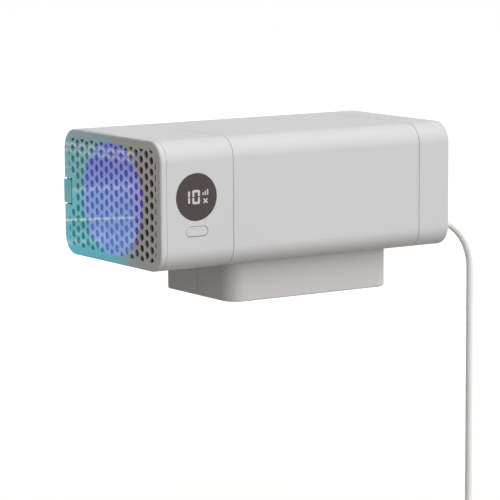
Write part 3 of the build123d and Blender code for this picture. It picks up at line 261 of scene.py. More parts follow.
def glowMasks(tree, place):
    # masks in the grille's own plane: across and up run from -1 to 1, and the disc sits round the fan
    low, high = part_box("fan_shaft")
    grilleLow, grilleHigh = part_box("end_grille")
    halfY = (grilleHigh.y - grilleLow.y) / 2
    halfZ = (grilleHigh.z - grilleLow.z) / 2
    parts = addNode(tree, "SeparateXYZ", None, {"Vector": place})
    y = addNode(tree, "Math", minus, {0: parts.outputs["Y"], 1: (low.y + high.y) / 2})
    z = addNode(tree, "Math", minus, {0: parts.outputs["Z"], 1: (low.z + high.z) / 2})
    across = addNode(tree, "Math", over, {0: y, 1: halfY})
    up = addNode(tree, "Math", over, {0: z, 1: halfZ})
    ySquare = addNode(tree, "Math", times, {0: y, 1: y})
    zSquare = addNode(tree, "Math", times, {0: z, 1: z})
    square = addNode(tree, "Math", plus, {0: ySquare, 1: zSquare})
    radius = addNode(tree, "Math", root, {0: square})
    edge = mm(glowLook["discEdgeMm"])
    discRadius = mm(glowLook["discRadiusMm"])
    disc = addNode(tree, "MapRange", smooth, {0: radius, 1: discRadius + edge, 2: discRadius - edge})
    lean = addNode(tree, "Math", times, {0: up, 1: glowLook["tealLean"]})
    leaning = addNode(tree, "Math", minus, {0: across, 1: lean})
    teal = addNode(tree, "MapRange", smooth, {0: leaning, 1: -0.43, 2: 0.2})
    # inside the field a bore starts just under the face, and round the rim the light fades over the rounding
    margin = mm(glowLook["fieldMarginMm"])
    yReach = addNode(tree, "Math", unsigned, {0: y})
    zReach = addNode(tree, "Math", unsigned, {0: z})
    insideY = addNode(tree, "Math", below, {0: yReach, 1: halfY - margin})
    insideZ = addNode(tree, "Math", below, {0: zReach, 1: halfZ - margin})
    inField = addNode(tree, "Math", times, {0: insideY, 1: insideZ})
    depth = addNode(tree, "Math", minus, {0: parts.outputs["X"], 1: grilleLow.x})
    underFace = addNode(tree, "MapRange", smooth, {0: depth, 1: mm(0.15), 2: mm(0.5)})
    bore = addNode(tree, "Math", times, {0: inField, 1: underFace})
    face = addNode(tree, "MapRange", smooth, {0: depth, 1: mm(1.3), 2: mm(0.4)})
    streak, level = streakMasks(tree, parts, across, up)
    return {"across": across, "up": up, "radius": radius, "disc": disc, "teal": teal, "bore": bore,
            "face": face, "streak": streak, "level": level}


def holeGlow(tree, masks, disc):
    # painted light in the holes: blue, violet at the disc's front edge, teal behind it and fading at the top
    rise = addNode(tree, "MapRange", smooth, {0: masks["up"], 1: 0.8, 2: -0.8})
    inside = addNode(tree, "Mix", asColor,
                     {0: rise, 6: toLinear(glowLook["holeTop"]), 7: toLinear(glowLook["holeBottom"])})
    front = addNode(tree, "MapRange", smooth, {0: masks["across"], 1: -0.34, 2: -0.5})
    inside = addNode(tree, "Mix", asColor, {0: front, 6: inside, 7: toLinear(glowLook["holeFront"])})
    fade = addNode(tree, "MapRange", smooth, {0: masks["up"], 1: 0.85, 2: 0.45, 3: 0.2, 4: 0.8})
    teal = addNode(tree, "Math", times, {0: masks["teal"], 1: fade})
    outside = addNode(tree, "Mix", asColor, {0: teal, 6: unlit, 7: toLinear(glowLook["tealHole"])})
    glow = addNode(tree, "Mix", asColor, {0: disc, 6: outside, 7: inside})
    streak = addNode(tree, "Math", times, {0: masks["streak"], 1: 0.5})
    return addNode(tree, "Mix", asColor, {0: streak, 6: glow, 7: toLinear(glowLook["streakInHole"])})


def litGrilleAbs():
    # ABS, injection moulded: satin grey-white in the shade, with painted light from the fan's ring as
    # emission in its webs
    base = glowLook["plastic"]
    material, tree, shader, place = startMaterial("grilleMouldedAbs", base, 0.42, **absGloss)
    body = mouldGrain(tree, shader, place, base, grainLook["sizeMm"], grainLook["depthMm"], 0.42)
    masks = glowMasks(tree, place)
    # the colours of the painted light on the webs: clouded blue in the disc, teal behind it
    rise = addNode(tree, "MapRange", smooth, {0: masks["up"], 1: 0.9, 2: -0.9})
    web = addNode(tree, "Mix", asColor,
                  {0: rise, 6: toLinear(glowLook["webTop"]), 7: toLinear(glowLook["webBottom"])})
    teal = addNode(tree, "Mix", asColor,
                   {0: rise, 6: toLinear(glowLook["tealTop"]), 7: toLinear(glowLook["tealBottom"])})
    cloud = addNode(tree, "TexNoise", None,
                    {"Vector": place, "Scale": perMm(glowLook["cloudMm"]), "Detail": 1.0})
    clouded = addNode(tree, "MapRange", smooth, {0: cloud, 1: 0.35, 2: 0.7, 3: 0.0, 4: 0.5})
    web = addNode(tree, "Mix", asColor, {0: clouded, 6: web, 7: toLinear(glowLook["webCloud"])})
    underTop = addNode(tree, "MapRange", smooth, {0: masks["up"], 1: 0.97, 2: 0.76, 3: 0.4, 4: 1.0})
    tealAmount = addNode(tree, "Math", times, {0: masks["teal"], 1: underTop})
    # painted light: the plastic's colour takes some of those colours, and painted shade darkens the bores'
    # walls
    tealTint = addNode(tree, "Math", times, {0: tealAmount, 1: glowLook["tealTint"]})
    tealed = addNode(tree, "Mix", asColor, {0: tealTint, 6: body, 7: teal})
    discTint = addNode(tree, "Math", times, {0: masks["disc"], 1: glowLook["discTint"]})
    tinted = addNode(tree, "Mix", asColor, {0: discTint, 6: tealed, 7: web})
    # painted shade: the bores' walls are darkened in the base colour
    shade = addNode(tree, "Math", times, {0: masks["bore"], 1: 1 - glowLook["boreShade"]})
    shaded = addNode(tree, "Mix", asColor, {0: shade, 6: tinted, 7: unlit})
    # the painted light itself, as emission on the face and in the bores
    around = addNode(tree, "Mix", asColor, {0: tealAmount, 6: unlit, 7: teal})
    glow = addNode(tree, "Mix", asColor, {0: masks["disc"], 6: around, 7: web})
    # painted glare streaks over the painted light
    glow = addNode(tree, "Mix", asColor, {0: masks["streak"], 6: glow, 7: toLinear(glowLook["streakColor"])})
    lit = addNode(tree, "Mix", asColor,
                  {0: masks["bore"], 6: glow, 7: holeGlow(tree, masks, masks["disc"])})
    faceLevel = addNode(tree, "Math", times, {0: masks["face"], 1: masks["level"]})
    onFace = addNode(tree, "Math", times, {0: faceLevel, 1: glowLook["webStrength"]})
    strength = addNode(tree, "Mix", asNumber, {0: masks["bore"], 2: onFace, 3: glowLook["wallStrength"]})
    fillInputs(tree, shader, {"Base Color": shaded, "Emission Color": lit, "Emission Strength": strength})
    return material


# Foam behind the grille: its open cells, and where the painted glow in it ends round the disc
foamLook = {
    "wall": "#3a3633",
    "cell": "#1f1d1c",
    "cellMm": 0.8,
    "pitStrength": 0.9,
    "pitDepthMm": 0.3,
    "glowEdgeMm": (29.5, 27.0),
}


def filterFoam():
    # reticulated polyurethane foam: open cells about 0.8 mm across, with painted glow as emission behind the
    # holes
    material, tree, shader, place = startMaterial("filterOpenCellFoam", "#2e2b29", 0.95)
    cells = addNode(tree, "TexVoronoi", {"feature": 'DISTANCE_TO_EDGE'},
                    {"Vector": place, "Scale": perMm(foamLook["cellMm"])})
    pits = addNode(tree, "Bump", None,
                   {"Strength": foamLook["pitStrength"], "Distance": mm(foamLook["pitDepthMm"]),
                    "Height": cells.outputs["Distance"]})
    wall = addNode(tree, "MapRange", smooth, {0: cells.outputs["Distance"], 1: 0.02, 2: 0.25})
    foam = addNode(tree, "Mix", asColor,
                   {0: wall, 6: toLinear(foamLook["wall"]), 7: toLinear(foamLook["cell"])})
    masks = glowMasks(tree, place)
    outer, inner = mm(*foamLook["glowEdgeMm"])
    wideDisc = addNode(tree, "MapRange", smooth, {0: masks["radius"], 1: outer, 2: inner})
    fillInputs(tree, shader, {"Normal": pits, "Base Color": foam,
                              "Emission Color": holeGlow(tree, masks, wideDisc),
                              "Emission Strength": glowLook["foamStrength"]})
    return material


def mouldedAbs(name, colorHex, roughness=0.42, grainMm=grainLook["sizeMm"]):
    # ABS, injection moulded: even satin colour with a fine tool grain
    material, tree, shader, place = startMaterial(name, colorHex, roughness, **absGloss)
    mouldGrain(tree, shader, place, colorHex, grainMm, grainLook["depthMm"], roughness)
    return material


# Finger tab: its plastic, and the painted teal light in its colour and on its outer face
tabLook = {
    "plastic": "#b9c9c8",
    "glowTop": "#2f9fae",
    "glowBottom": "#6aa6b0",
    "glowTint": 0.55,
    "fadeMm": (6.0, -6.0),
    "underFaceMm": (0.6, 0.2),
}


def tabAbs():
    # ABS, injection moulded as the grille is, with the teal side of the painted light tinted into its colour
    # and glowing on its outer face
    base = tabLook["plastic"]
    material, tree, shader, place = startMaterial("tabMouldedAbs", base, 0.4, **absGloss)
    body = mouldGrain(tree, shader, place, base, grainLook["sizeMm"], grainLook["depthMm"], 0.4)
    parts = addNode(tree, "SeparateXYZ", None, {"Vector": place})
    top, bottom = mm(*tabLook["fadeMm"])
    rise = addNode(tree, "MapRange", smooth, {0: parts.outputs["Z"], 1: top, 2: bottom})
    glow = addNode(tree, "Mix", asColor,
                   {0: rise, 6: toLinear(tabLook["glowTop"]), 7: toLinear(tabLook["glowBottom"])})
    tinted = addNode(tree, "Mix", asColor, {0: tabLook["glowTint"], 6: body, 7: glow})
    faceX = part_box("pull_tab")[0].x
    dark, lit = mm(*tabLook["underFaceMm"])
    outer = addNode(tree, "MapRange", smooth,
                    {0: parts.outputs["X"], 1: faceX + dark, 2: faceX + lit})
    strength = addNode(tree, "Math", times, {0: outer, 1: glowLook["webStrength"]})
    fillInputs(tree, shader, {"Base Color": tinted, "Emission Color": glow, "Emission Strength": strength})
    return material


def smokedAcrylic():
    # acrylic, cast and laser cut: warm dark face with faint wiping smears
    material, tree, shader, place = startMaterial("displaySmokedAcrylic", "#4b4244", 0.3, IOR=1.49,
                                                  Specular_IOR_Level=0.3)
    smear = addNode(tree, "TexNoise", None,
                    {"Vector": place, "Scale": perMm(9), "Detail": 3.0, "Distortion": 1.2})
    gloss = addNode(tree, "MapRange", smooth, {0: smear, 1: 0.35, 2: 0.7, 3: 0.26, 4: 0.36})
    tone = addNode(tree, "Mix", asColor, {0: smear, 6: toLinear("#4d4445"), 7: toLinear("#473e40")})
    fillInputs(tree, shader, {"Roughness": gloss, "Base Color": tone})
    return material


# Display figures: a diffuser with small lamps behind it
figuresLook = {
    "diffuser": "#8f8d8b",
    "overLamp": "#efeeea",
    "betweenLamps": "#c4c6c8",
    "lampPitchMm": 1.6,
    "strength": 0.38,
}


def litFigures():
    # printed diffuser over LEDs: near white, a touch brighter at the middle of each stroke
    material, tree, shader, place = startMaterial("figuresBacklitDiffuser", figuresLook["diffuser"], 0.5)
    spots = addNode(tree, "TexVoronoi", {"feature": 'SMOOTH_F1'},
                    {"Vector": place, "Scale": perMm(figuresLook["lampPitchMm"])})
    level = addNode(tree, "MapRange", smooth, {0: spots.outputs["Distance"], 1: 0.1, 2: 0.8, 3: 1.0, 4: 0.8})
    color = addNode(tree, "Mix", asColor, {0: level, 6: toLinear(figuresLook["betweenLamps"]),
                                           7: toLinear(figuresLook["overLamp"])})
    fillInputs(tree, shader, {"Emission Color": color, "Emission Strength": figuresLook["strength"]})
    return material


# Silicone grips and feet: dust and sheen, and where the painted glow from the holder's lamps starts and is
# full
siliconeLook = {
    "sheen": 0.15,
    "grainMm": 1.2,
    "grainDepthMm": 0.03,
    "dustShade": 0.08,
    "glowRiseMm": (0.3, 2.6),
    "glowStrength": 0.8,
}


def softSilicone(name, colorHex, glowHex=None):
    # silicone rubber, compression moulded: dull and a little dusty, with a soft sheen at grazing angles
    material, tree, shader, place = startMaterial(name, colorHex, 0.6, IOR=1.41,
                                                  Sheen_Weight=siliconeLook["sheen"])
    mouldGrain(tree, shader, place, colorHex, siliconeLook["grainMm"], siliconeLook["grainDepthMm"], 0.6,
               siliconeLook["dustShade"])
    if glowHex:
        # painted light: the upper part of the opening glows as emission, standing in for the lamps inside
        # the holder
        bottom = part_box("holder_tray")[0].z
        parts = addNode(tree, "SeparateXYZ", None, {"Vector": place})
        start, full = mm(*siliconeLook["glowRiseMm"])
        inner = addNode(tree, "MapRange", smooth,
                        {0: parts.outputs["Z"], 1: bottom + start, 2: bottom + full})
        glow = addNode(tree, "Mix", asColor, {0: inner, 6: unlit, 7: toLinear(glowHex)})
        fillInputs(tree, shader, {"Emission Color": glow, "Emission Strength": siliconeLook["glowStrength"]})
    return material


# Cord, leads and the plug's overmould: how far light goes into the plastic, and its handling marks
jacketLook = {
    "scatterMm": 1.5,
    "marksMm": 2.5,
    "markStrength": 0.2,
    "markDepthMm": 0.02,
    "markShade": 0.05,
}


def pvcJacket(name, colorHex, roughness=0.38, milky=0.08):
    # PVC, extruded: smooth, waxy and a little milky, with faint die lines along it and handling marks
    material, tree, shader, place = startMaterial(
        name, colorHex, roughness, IOR=1.52, Subsurface_Weight=milky,
        Subsurface_Scale=mm(jacketLook["scatterMm"]), Subsurface_Radius=(1.0, 1.0, 1.0))
    marks = addNode(tree, "TexNoise", None,
                    {"Vector": place, "Scale": perMm(jacketLook["marksMm"]), "Detail": 4.0,
                     "Roughness": 0.65})
    dents = addNode(tree, "Bump", None,
                    {"Strength": jacketLook["markStrength"], "Distance": mm(jacketLook["markDepthMm"]),
                     "Height": marks})
    gloss = addNode(tree, "MapRange", smooth,
                    {0: marks, 1: 0.3, 2: 0.75, 3: roughness - 0.06, 4: roughness + 0.1})
    color = addNode(tree, "Mix", asColor,
                    {0: marks, 6: toLinear(colorHex), 7: darker(colorHex, jacketLook["markShade"])})
    fillInputs(tree, shader, {"Normal": dents, "Roughness": gloss, "Base Color": color})
    return material


def platedSteel(name, colorHex, roughness, brushMm=0.25):
    # steel, drawn and plated: fine parallel drawing lines under a thin bright coat
    material, tree, shader, place = startMaterial(name, colorHex, roughness, Metallic=1.0)
    stretched = addNode(tree, "Mapping", None, {"Vector": place, "Scale": (0.05, 1.0, 1.0)})
    lines = addNode(tree, "TexNoise", None, {"Vector": stretched, "Scale": perMm(brushMm), "Detail": 3.0})
    grooves = addNode(tree, "Bump", None, {"Strength": 0.25, "Distance": mm(0.01), "Height": lines})
    gloss = addNode(tree, "MapRange", smooth,
                    {0: lines, 1: 0.3, 2: 0.7, 3: roughness - 0.06, 4: roughness + 0.08})
    fillInputs(tree, shader, {"Normal": grooves, "Roughness": gloss})
    return material


def sinteredBronze():
    # bronze, pressed and sintered: brown, with oil-filled pores
    material, tree, shader, place = startMaterial("bearingSinteredBronze", "#a9783f", 0.45, Metallic=1.0)
    pores = addNode(tree, "TexVoronoi", None, {"Vector": place, "Scale": perMm(0.3)})
    worn = addNode(tree, "MapRange", smooth, {0: pores.outputs["Distance"], 1: 0.0, 2: 0.35})
    color = addNode(tree, "Mix", asColor, {0: worn, 6: toLinear("#4a3016"), 7: toLinear("#a9783f")})
    fillInputs(tree, shader, {"Base Color": color})
    return material


# Circuit boards: solder mask, and the copper tracks under it
boardLook = {
    "mask": "#14492d",
    "maskInShade": "#123f28",
    "maskOverCopper": "#2f7a4c",
    "trackMm": 0.25,
    "trackLengthMm": 6.0,
    "trackPitchMm": 1.8,
    "weaveMm": 0.6,
}


def circuitBoard():
    # glass epoxy under green solder mask: copper tracks show as a lighter green grid
    material, tree, shader, place = startMaterial("boardGlassEpoxy", boardLook["mask"], 0.35, IOR=1.55)
    tracks = addNode(tree, "TexBrick", {"offset": 0.5, "squash": 1.0},
                     {"Vector": place, "Color1": toLinear(boardLook["mask"]),
                      "Color2": toLinear(boardLook["maskInShade"]),
                      "Mortar": toLinear(boardLook["maskOverCopper"]), "Scale": 1.0,
                      "Mortar Size": mm(boardLook["trackMm"]), "Brick Width": mm(boardLook["trackLengthMm"]),
                      "Row Height": mm(boardLook["trackPitchMm"])})
    weave = addNode(tree, "TexNoise", None,
                    {"Vector": place, "Scale": perMm(boardLook["weaveMm"]), "Detail": 2.0})
    raised = addNode(tree, "Bump", None,
                     {"Strength": 0.3, "Distance": mm(0.03), "Height": tracks.outputs["Fac"]})
    woven = addNode(tree, "Math", times, {0: weave, 1: 0.15})
    color = addNode(tree, "Mix", asColor, {0: woven, 6: tracks.outputs["Color"], 7: unlit})
    fillInputs(tree, shader, {"Normal": raised, "Base Color": color})
    return material


def mouldedEpoxy(name, colorHex, roughness=0.5):
    # epoxy, transfer moulded: matt and slightly grainy, as on chips and lamps
    material, tree, shader, place = startMaterial(name, colorHex, roughness, IOR=1.55)
    mouldGrain(tree, shader, place, colorHex, 0.35, 0.015, roughness, 0.1)
    return material


def glassNylon():
    # glass-filled nylon, injection moulded: near black, with the streaky flow of its fibres
    material, tree, shader, place = startMaterial("fanGlassNylon", "#1b1c1e", 0.5, IOR=1.53)
    stretched = addNode(tree, "Mapping", None, {"Vector": place, "Scale": (1.0, 0.3, 1.0)})
    fibres = addNode(tree, "TexNoise", None,
                     {"Vector": stretched, "Scale": perMm(0.7), "Detail": 5.0, "Roughness": 0.7})
    streaky = addNode(tree, "MapRange", smooth, {0: fibres, 1: 0.4, 2: 0.75})
    color = addNode(tree, "Mix", asColor, {0: streaky, 6: toLinear("#1b1c1e"), 7: toLinear("#303236")})
    ridges = addNode(tree, "Bump", None, {"Strength": 0.3, "Distance": mm(0.02), "Height": fibres})
    fillInputs(tree, shader, {"Base Color": color, "Normal": ridges})
    return material


def rolledAluminium():
    # aluminium sheet, rolled and bright anodised: long rolling lines and a clear reflection
    material, tree, shader, place = startMaterial("linerRolledAluminium", "#d6d8da", 0.25, Metallic=1.0)
    stretched = addNode(tree, "Mapping", None, {"Vector": place, "Scale": (0.02, 1.0, 1.0)})
    lines = addNode(tree, "TexNoise", None, {"Vector": stretched, "Scale": perMm(0.5), "Detail": 4.0})
    gloss = addNode(tree, "MapRange", smooth, {0: lines, 1: 0.3, 2: 0.7, 3: 0.18, 4: 0.36})
    fillInputs(tree, shader, {"Roughness": gloss})
    return material


def clearSheet(name, colorHex, roughness, ior):
    # clear glass or polycarbonate, polished, with a slight frosting that the moulding leaves
    material, tree, shader, place = startMaterial(name, colorHex, roughness, IOR=ior,
                                                  Transmission_Weight=0.85)
    haze = addNode(tree, "TexNoise", None, {"Vector": place, "Scale": perMm(5), "Detail": 3.0})
    gloss = addNode(tree, "MapRange", smooth,
                    {0: haze, 1: 0.35, 2: 0.7, 3: roughness * 0.6, 4: roughness * 1.5})
    fillInputs(tree, shader, {"Roughness": gloss})
    return material


def foamTape():
    # polyethylene foam tape, slit and die cut: closed cells under a grey skin, drawn a little coarse to show
    material, tree, shader, place = startMaterial("padFoamTape", "#c9cac6", 0.8)
    cells = addNode(tree, "TexVoronoi", None, {"Vector": place, "Scale": perMm(0.7)})
    skin = addNode(tree, "MapRange", smooth, {0: cells.outputs["Distance"], 1: 0.1, 2: 0.7})
    color = addNode(tree, "Mix", asColor, {0: skin, 6: toLinear("#d3d4d0"), 7: toLinear("#b1b3ae")})
    dents = addNode(tree, "Bump", None,
                    {"Strength": 0.5, "Distance": mm(0.08), "Height": cells.outputs["Distance"]})
    fillInputs(tree, shader, {"Base Color": color, "Normal": dents})
    return material


materials = {
    "white_shell": mouldedAbs("shellMouldedAbs", "#dadadb"),
    "grille_plastic": litGrilleAbs(),
    "tab_plastic": tabAbs(),
    "holder_plastic": mouldedAbs("holderMouldedAbs", "#d8d7d7", 0.46, 0.9),
    "inner_plastic": mouldedAbs("frameMouldedAbs", "#cfd0d1", 0.5),
    "dark_plastic": glassNylon(),
    "clear_plastic": clearSheet("guidePolycarbonate", "#dfe8f5", 0.2, 1.58),
    "quartz": clearSheet("windowQuartz", "#e4ecf5", 0.05, 1.46),
    "smoked_lens": smokedAcrylic(),
    "lit_digits": litFigures(),
    "board_green": circuitBoard(),
    "chip_black": mouldedEpoxy("chipMouldedEpoxy", "#191a1c"),
    "led_white": mouldedEpoxy("lampMouldedEpoxy", "#e6e0c4", 0.3),
    "steel": platedSteel("screwZincSteel", "#a9abad", 0.32),
    "nickel": platedSteel("shellNickelSteel", "#c9c6bf", 0.2, 0.4),
    "magnet": platedSteel("magnetNickelPlate", "#b4b4b3", 0.18, 0.6),
    "bronze": sinteredBronze(),
    "liner_metal": rolledAluminium(),
    "filter_foam": filterFoam(),
    "silicone": softSilicone("gripMouldedSilicone", "#a9abb2", "#6a3fd0"),
    "rubber": softSilicone("footMouldedRubber", "#232324"),
    "white_rubber": pvcJacket("overmouldPvc", "#e9e9e9", 0.45),
    "foam_tape": foamTape(),
    "cord_white": pvcJacket("cordExtrudedPvc", "#fcfcfc", 0.34, 0.5),
    "wire_black": pvcJacket("leadExtrudedPvc", "#1d1d1f", 0.45),
}
slotOf = {part["node"]: part["material_slot"] for part in frame["record"]["subparts"]}
print("materials made:", len(materials))


def setMaterial(piece, slotName):
    piece.data.materials.clear()
    piece.data.materials.append(materials[slotName])


def applyModifier(piece, kind, **settings):
    modifier = piece.modifiers.new(kind.lower(), kind)
    for option, value in settings.items():
        setattr(modifier, option, value)
    bpy.context.view_layer.objects.active = piece
    bpy.ops.object.modifier_apply(modifier=modifier.name)


def finishPiece(piece, node):
    # the piece stands for its node, on the node's body and in its material
    setMaterial(piece, slotOf[node])
    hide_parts(node)
    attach(piece, bodyOf[node])


# What a copied node's mesh is merged, flattened, bevelled and smoothed by
meshCare = {"mergeMm": 0.004, "flatDeg": 0.5, "bevelFromDeg": 40, "smoothDeg": 32}


def dressNode(node, bevelMm=0.0):
    # merged copy of a node, smooth where it curves and flat where it is flat
    clearSelection()
    piece = bpy.data.objects.new(node + "_dressed", frame["nodes"][node].data.copy())
    bpy.context.scene.collection.objects.link(piece)
    piece.select_set(True)
    bpy.context.view_layer.objects.active = piece
    bpy.ops.object.mode_set(mode='EDIT')
    bpy.ops.mesh.select_all(action='SELECT')
    bpy.ops.mesh.remove_doubles(threshold=mm(meshCare["mergeMm"]))
    bpy.ops.mesh.dissolve_limited(angle_limit=math.radians(meshCare["flatDeg"]), delimit={'SHARP'})
    bpy.ops.object.mode_set(mode='OBJECT')
    if bevelMm:
        applyModifier(piece, 'BEVEL', width=mm(bevelMm), segments=2, limit_method='ANGLE',
                      angle_limit=math.radians(meshCare["bevelFromDeg"]), use_clamp_overlap=True)
    bpy.ops.object.shade_smooth_by_angle(angle=math.radians(meshCare["smoothDeg"]))
    applyModifier(piece, 'WEIGHTED_NORMAL', keep_sharp=True, weight=50)
    finishPiece(piece, node)
    return piece


# Cord: its route from the exit down, then the tied coil and a short tail to the plug
cordLook = {
    "radiusMm": 1.8,
    "lengthM": 1.52,
    "routeMm": [(95.85, -47.85, -22.5), (111.95, -47.85, -22.5), (129.15, -47.85, -38.7)],
    "straightMm": (129.15, -47.85, -62.3),
    "coilCentreMm": (104.25, -47.85, -214.0),
    "innerTurnMm": 15.5,
    "turnPitchMm": 4.7,
    "layerPitchMm": 5.4,
    "halfTurns": 4,
    "layers": 4,
    "pointsPerHalfTurn": 7,
    "stubMm": 3.6,
    "tailMm": 30.0,
    "stepsPerPoint": 5,
    "ringSteps": 5,
}


def coilTurns():
    # reach and layer at each end of the half turns: in, out, in and out again
    turn = cordLook["innerTurnMm"] + cordLook["halfTurns"] * cordLook["turnPitchMm"] / 2
    ends = [(turn, 0)]
    for layer in range(cordLook["layers"]):
        step = -cordLook["turnPitchMm"] / 2 if layer % 2 == 0 else cordLook["turnPitchMm"] / 2
        last = layer == cordLook["layers"] - 1
        for _ in range(cordLook["halfTurns"] + (1 if last else 0)):
            turn += step
            ends.append((turn, layer))
        if not last:
            ends.append((turn, layer + 1))
    return ends


def coilPoints():
    # control points round each half turn, set out so that the curve keeps the turn's radius
    centre = Vector(cordLook["coilCentreMm"])
    count = cordLook["pointsPerHalfTurn"]
    outset = 1 / math.cos(math.pi / (2 * count))
    ends = coilTurns()
    points = []
    for index in range(len(ends) - 1):
        side = 1 if index % 2 == 0 else -1
        start = centre + Vector((side * ends[index][0], ends[index][1] * cordLook["layerPitchMm"], 0))
        end = centre + Vector((-side * ends[index + 1][0], ends[index + 1][1] * cordLook["layerPitchMm"], 0))
        middle = (start + end) / 2
        reach = (end - start) / 2
        down = Vector((0, 0, -side * reach.length))
        for step in range(count):
            angle = math.pi * (step + 0.5) / count
            points.append(middle - reach * math.cos(angle) * outset + down * math.sin(angle) * outset)
    return points, end


def makeCord():
    turns, coilEnd = coilPoints()
    stub = Vector((0, 0, cordLook["stubMm"]))
    tail = Vector((0, 0, cordLook["tailMm"]))
    coilStart = Vector((cordLook["routeMm"][-1][0], cordLook["routeMm"][-1][1], cordLook["coilCentreMm"][2]))
    points = [Vector(p) for p in cordLook["routeMm"]] + [Vector(cordLook["straightMm"]), coilStart + stub]
    points += turns
    points += [coilEnd - stub, coilEnd - stub - tail]
    curve = bpy.data.curves.new("cord", 'CURVE')
    curve.dimensions = '3D'
    spline = curve.splines.new('NURBS')
    spline.points.add(len(points) - 1)
    for point, place in zip(spline.points, points):
        point.co = (*(place / 1000), 1.0)
    spline.order_u = 3
    spline.use_endpoint_u = True
    curve.resolution_u = cordLook["stepsPerPoint"]
    curve.bevel_depth = mm(cordLook["radiusMm"])
    curve.bevel_resolution = cordLook["ringSteps"]
    curve.use_fill_caps = True
    cord = bpy.data.objects.new("cord", curve)
    bpy.context.scene.collection.objects.link(cord)
    finishPiece(cord, "cord_run")
    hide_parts("cord_coil", "cord_tail")
    return cord


cord = makeCord()
print("cord made")


# Overmoulded plug: a rounded block with thumb grips on both broad sides
plugLook = {
    "cornerMm": 2.2,
    "rimMm": 0.8,
    "gripInsetMm": 2.6,
    "gripDepthMm": 0.5,
    "ribs": 4,
    "ribLengthMm": 8.4,
    "ribHeightMm": 1.0,
    "ribDepthMm": 1.0,
    "ribEdgeMm": 0.4,
    "endRoomMm": 3,
    "bevelFromDeg": 50,
    "smoothDeg": 35,
}


def boxBetween(name, low, high):
    # cube primitive between two corners, in metres, its place in its mesh
    clearSelection()
    bpy.ops.mesh.primitive_cube_add(size=1, location=(low + high) / 2)
    piece = bpy.context.object
    piece.name = name
    piece.scale = high - low
    bpy.ops.object.transform_apply(location=True, rotation=True, scale=True)
    return piece


def selectFaces(piece, test):
    # picks faces by centre and normal, in edit mode's face select
    bpy.ops.object.mode_set(mode='EDIT')
    bpy.ops.mesh.select_mode(type='FACE')
    bpy.ops.mesh.select_all(action='DESELECT')
    bpy.ops.object.mode_set(mode='OBJECT')
    for face in piece.data.polygons:
        face.select = test(face.center, face.normal)
    bpy.ops.object.mode_set(mode='EDIT')


def selectEdges(piece, test):
    # picks edges by their two ends
    bpy.ops.object.mode_set(mode='EDIT')
    bpy.ops.mesh.select_mode(type='EDGE')
    bpy.ops.mesh.select_all(action='DESELECT')
    bpy.ops.object.mode_set(mode='OBJECT')
    points = piece.data.vertices
    for edge in piece.data.edges:
        edge.select = test(points[edge.vertices[0]].co, points[edge.vertices[1]].co)
    bpy.ops.object.mode_set(mode='EDIT')


def makePlug():
    low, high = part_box("plug_body")
    plug = boxBetween("plug_overmould", low, high)
    selectEdges(plug, lambda a, b: abs(a.z - b.z) > mm(5))
    bpy.ops.mesh.bevel(offset=mm(plugLook["cornerMm"]), segments=5)
    bpy.ops.object.mode_set(mode='OBJECT')
    selectFaces(plug, lambda c, n: abs(n.y) > 0.99)
    bpy.ops.mesh.inset(thickness=mm(plugLook["gripInsetMm"]), use_individual=True)
    bpy.ops.mesh.extrude_region_move(TRANSFORM_OT_translate={"value": (0, 0, 0)})
    bpy.ops.transform.shrink_fatten(value=-mm(plugLook["gripDepthMm"]))
    bpy.ops.object.mode_set(mode='OBJECT')
    applyModifier(plug, 'BEVEL', width=mm(plugLook["rimMm"]), segments=3, limit_method='ANGLE',
                  angle_limit=math.radians(plugLook["bevelFromDeg"]))
    middle = (low + high) / 2
    step = (high.z - low.z - mm(2 * plugLook["gripInsetMm"] + plugLook["endRoomMm"])) / plugLook["ribs"]
    halfLength = mm(plugLook["ribLengthMm"] / 2)
    halfHeight = mm(plugLook["ribHeightMm"] / 2)
    ribs = []
    for side in (-1, 1):
        face = low.y if side < 0 else high.y
        sunk = face - side * mm(plugLook["ribDepthMm"])
        for index in range(plugLook["ribs"]):
            z = middle.z + (index - (plugLook["ribs"] - 1) / 2) * step
            rib = boxBetween("rib", Vector((middle.x - halfLength, min(face, sunk), z - halfHeight)),
                             Vector((middle.x + halfLength, max(face, sunk), z + halfHeight)))
            applyModifier(rib, 'BEVEL', width=mm(plugLook["ribEdgeMm"]), segments=3, limit_method='NONE')
            ribs.append(rib)
    clearSelection()
    for piece in [*ribs, plug]:
        piece.select_set(True)
    bpy.context.view_layer.objects.active = plug
    bpy.ops.object.join()
    bpy.ops.object.shade_smooth_by_angle(angle=math.radians(plugLook["smoothDeg"]))
    finishPiece(plug, "plug_body")
    return plug


plug = makePlug()
plugShell = dressNode("plug_shell", 0.12)
tie = dressNode("cord_tie", 0.25)
print("plug and tie made")


# Shells and everything else that shows, from the outside in, with the bevel on their edges
bevelsMm = {
    "left_housing": 0.0, "middle_housing": 0.0, "right_cap": 0.0, "end_grille": 0.12, "pull_tab": 0.2,
    "tab_pin": 0.0, "dust_filter": 0.0, "display_lens": 0.0, "display_digits": 0.0, "button_cap": 0.0,
    "holder_tray": 0.12, "holder_base": 0.12, "toothbrush_grip": 0.15, "razor_grip": 0.15,
    "tray_rails": 0.15, "strain_relief": 0.15, "wall_plate": 0.1, "adhesive_pad": 0.0,
    "rear_bumpers": 0.6, "housing_screws": 0.0,
}
for node, bevelMm in bevelsMm.items():
    dressNode(node, bevelMm)
print("outer pieces dressed:", len(bevelsMm))

for node, piece in frame["nodes"].items():
    if not piece.hide_render:
        setMaterial(piece, slotOf[node])
print("inner pieces painted")


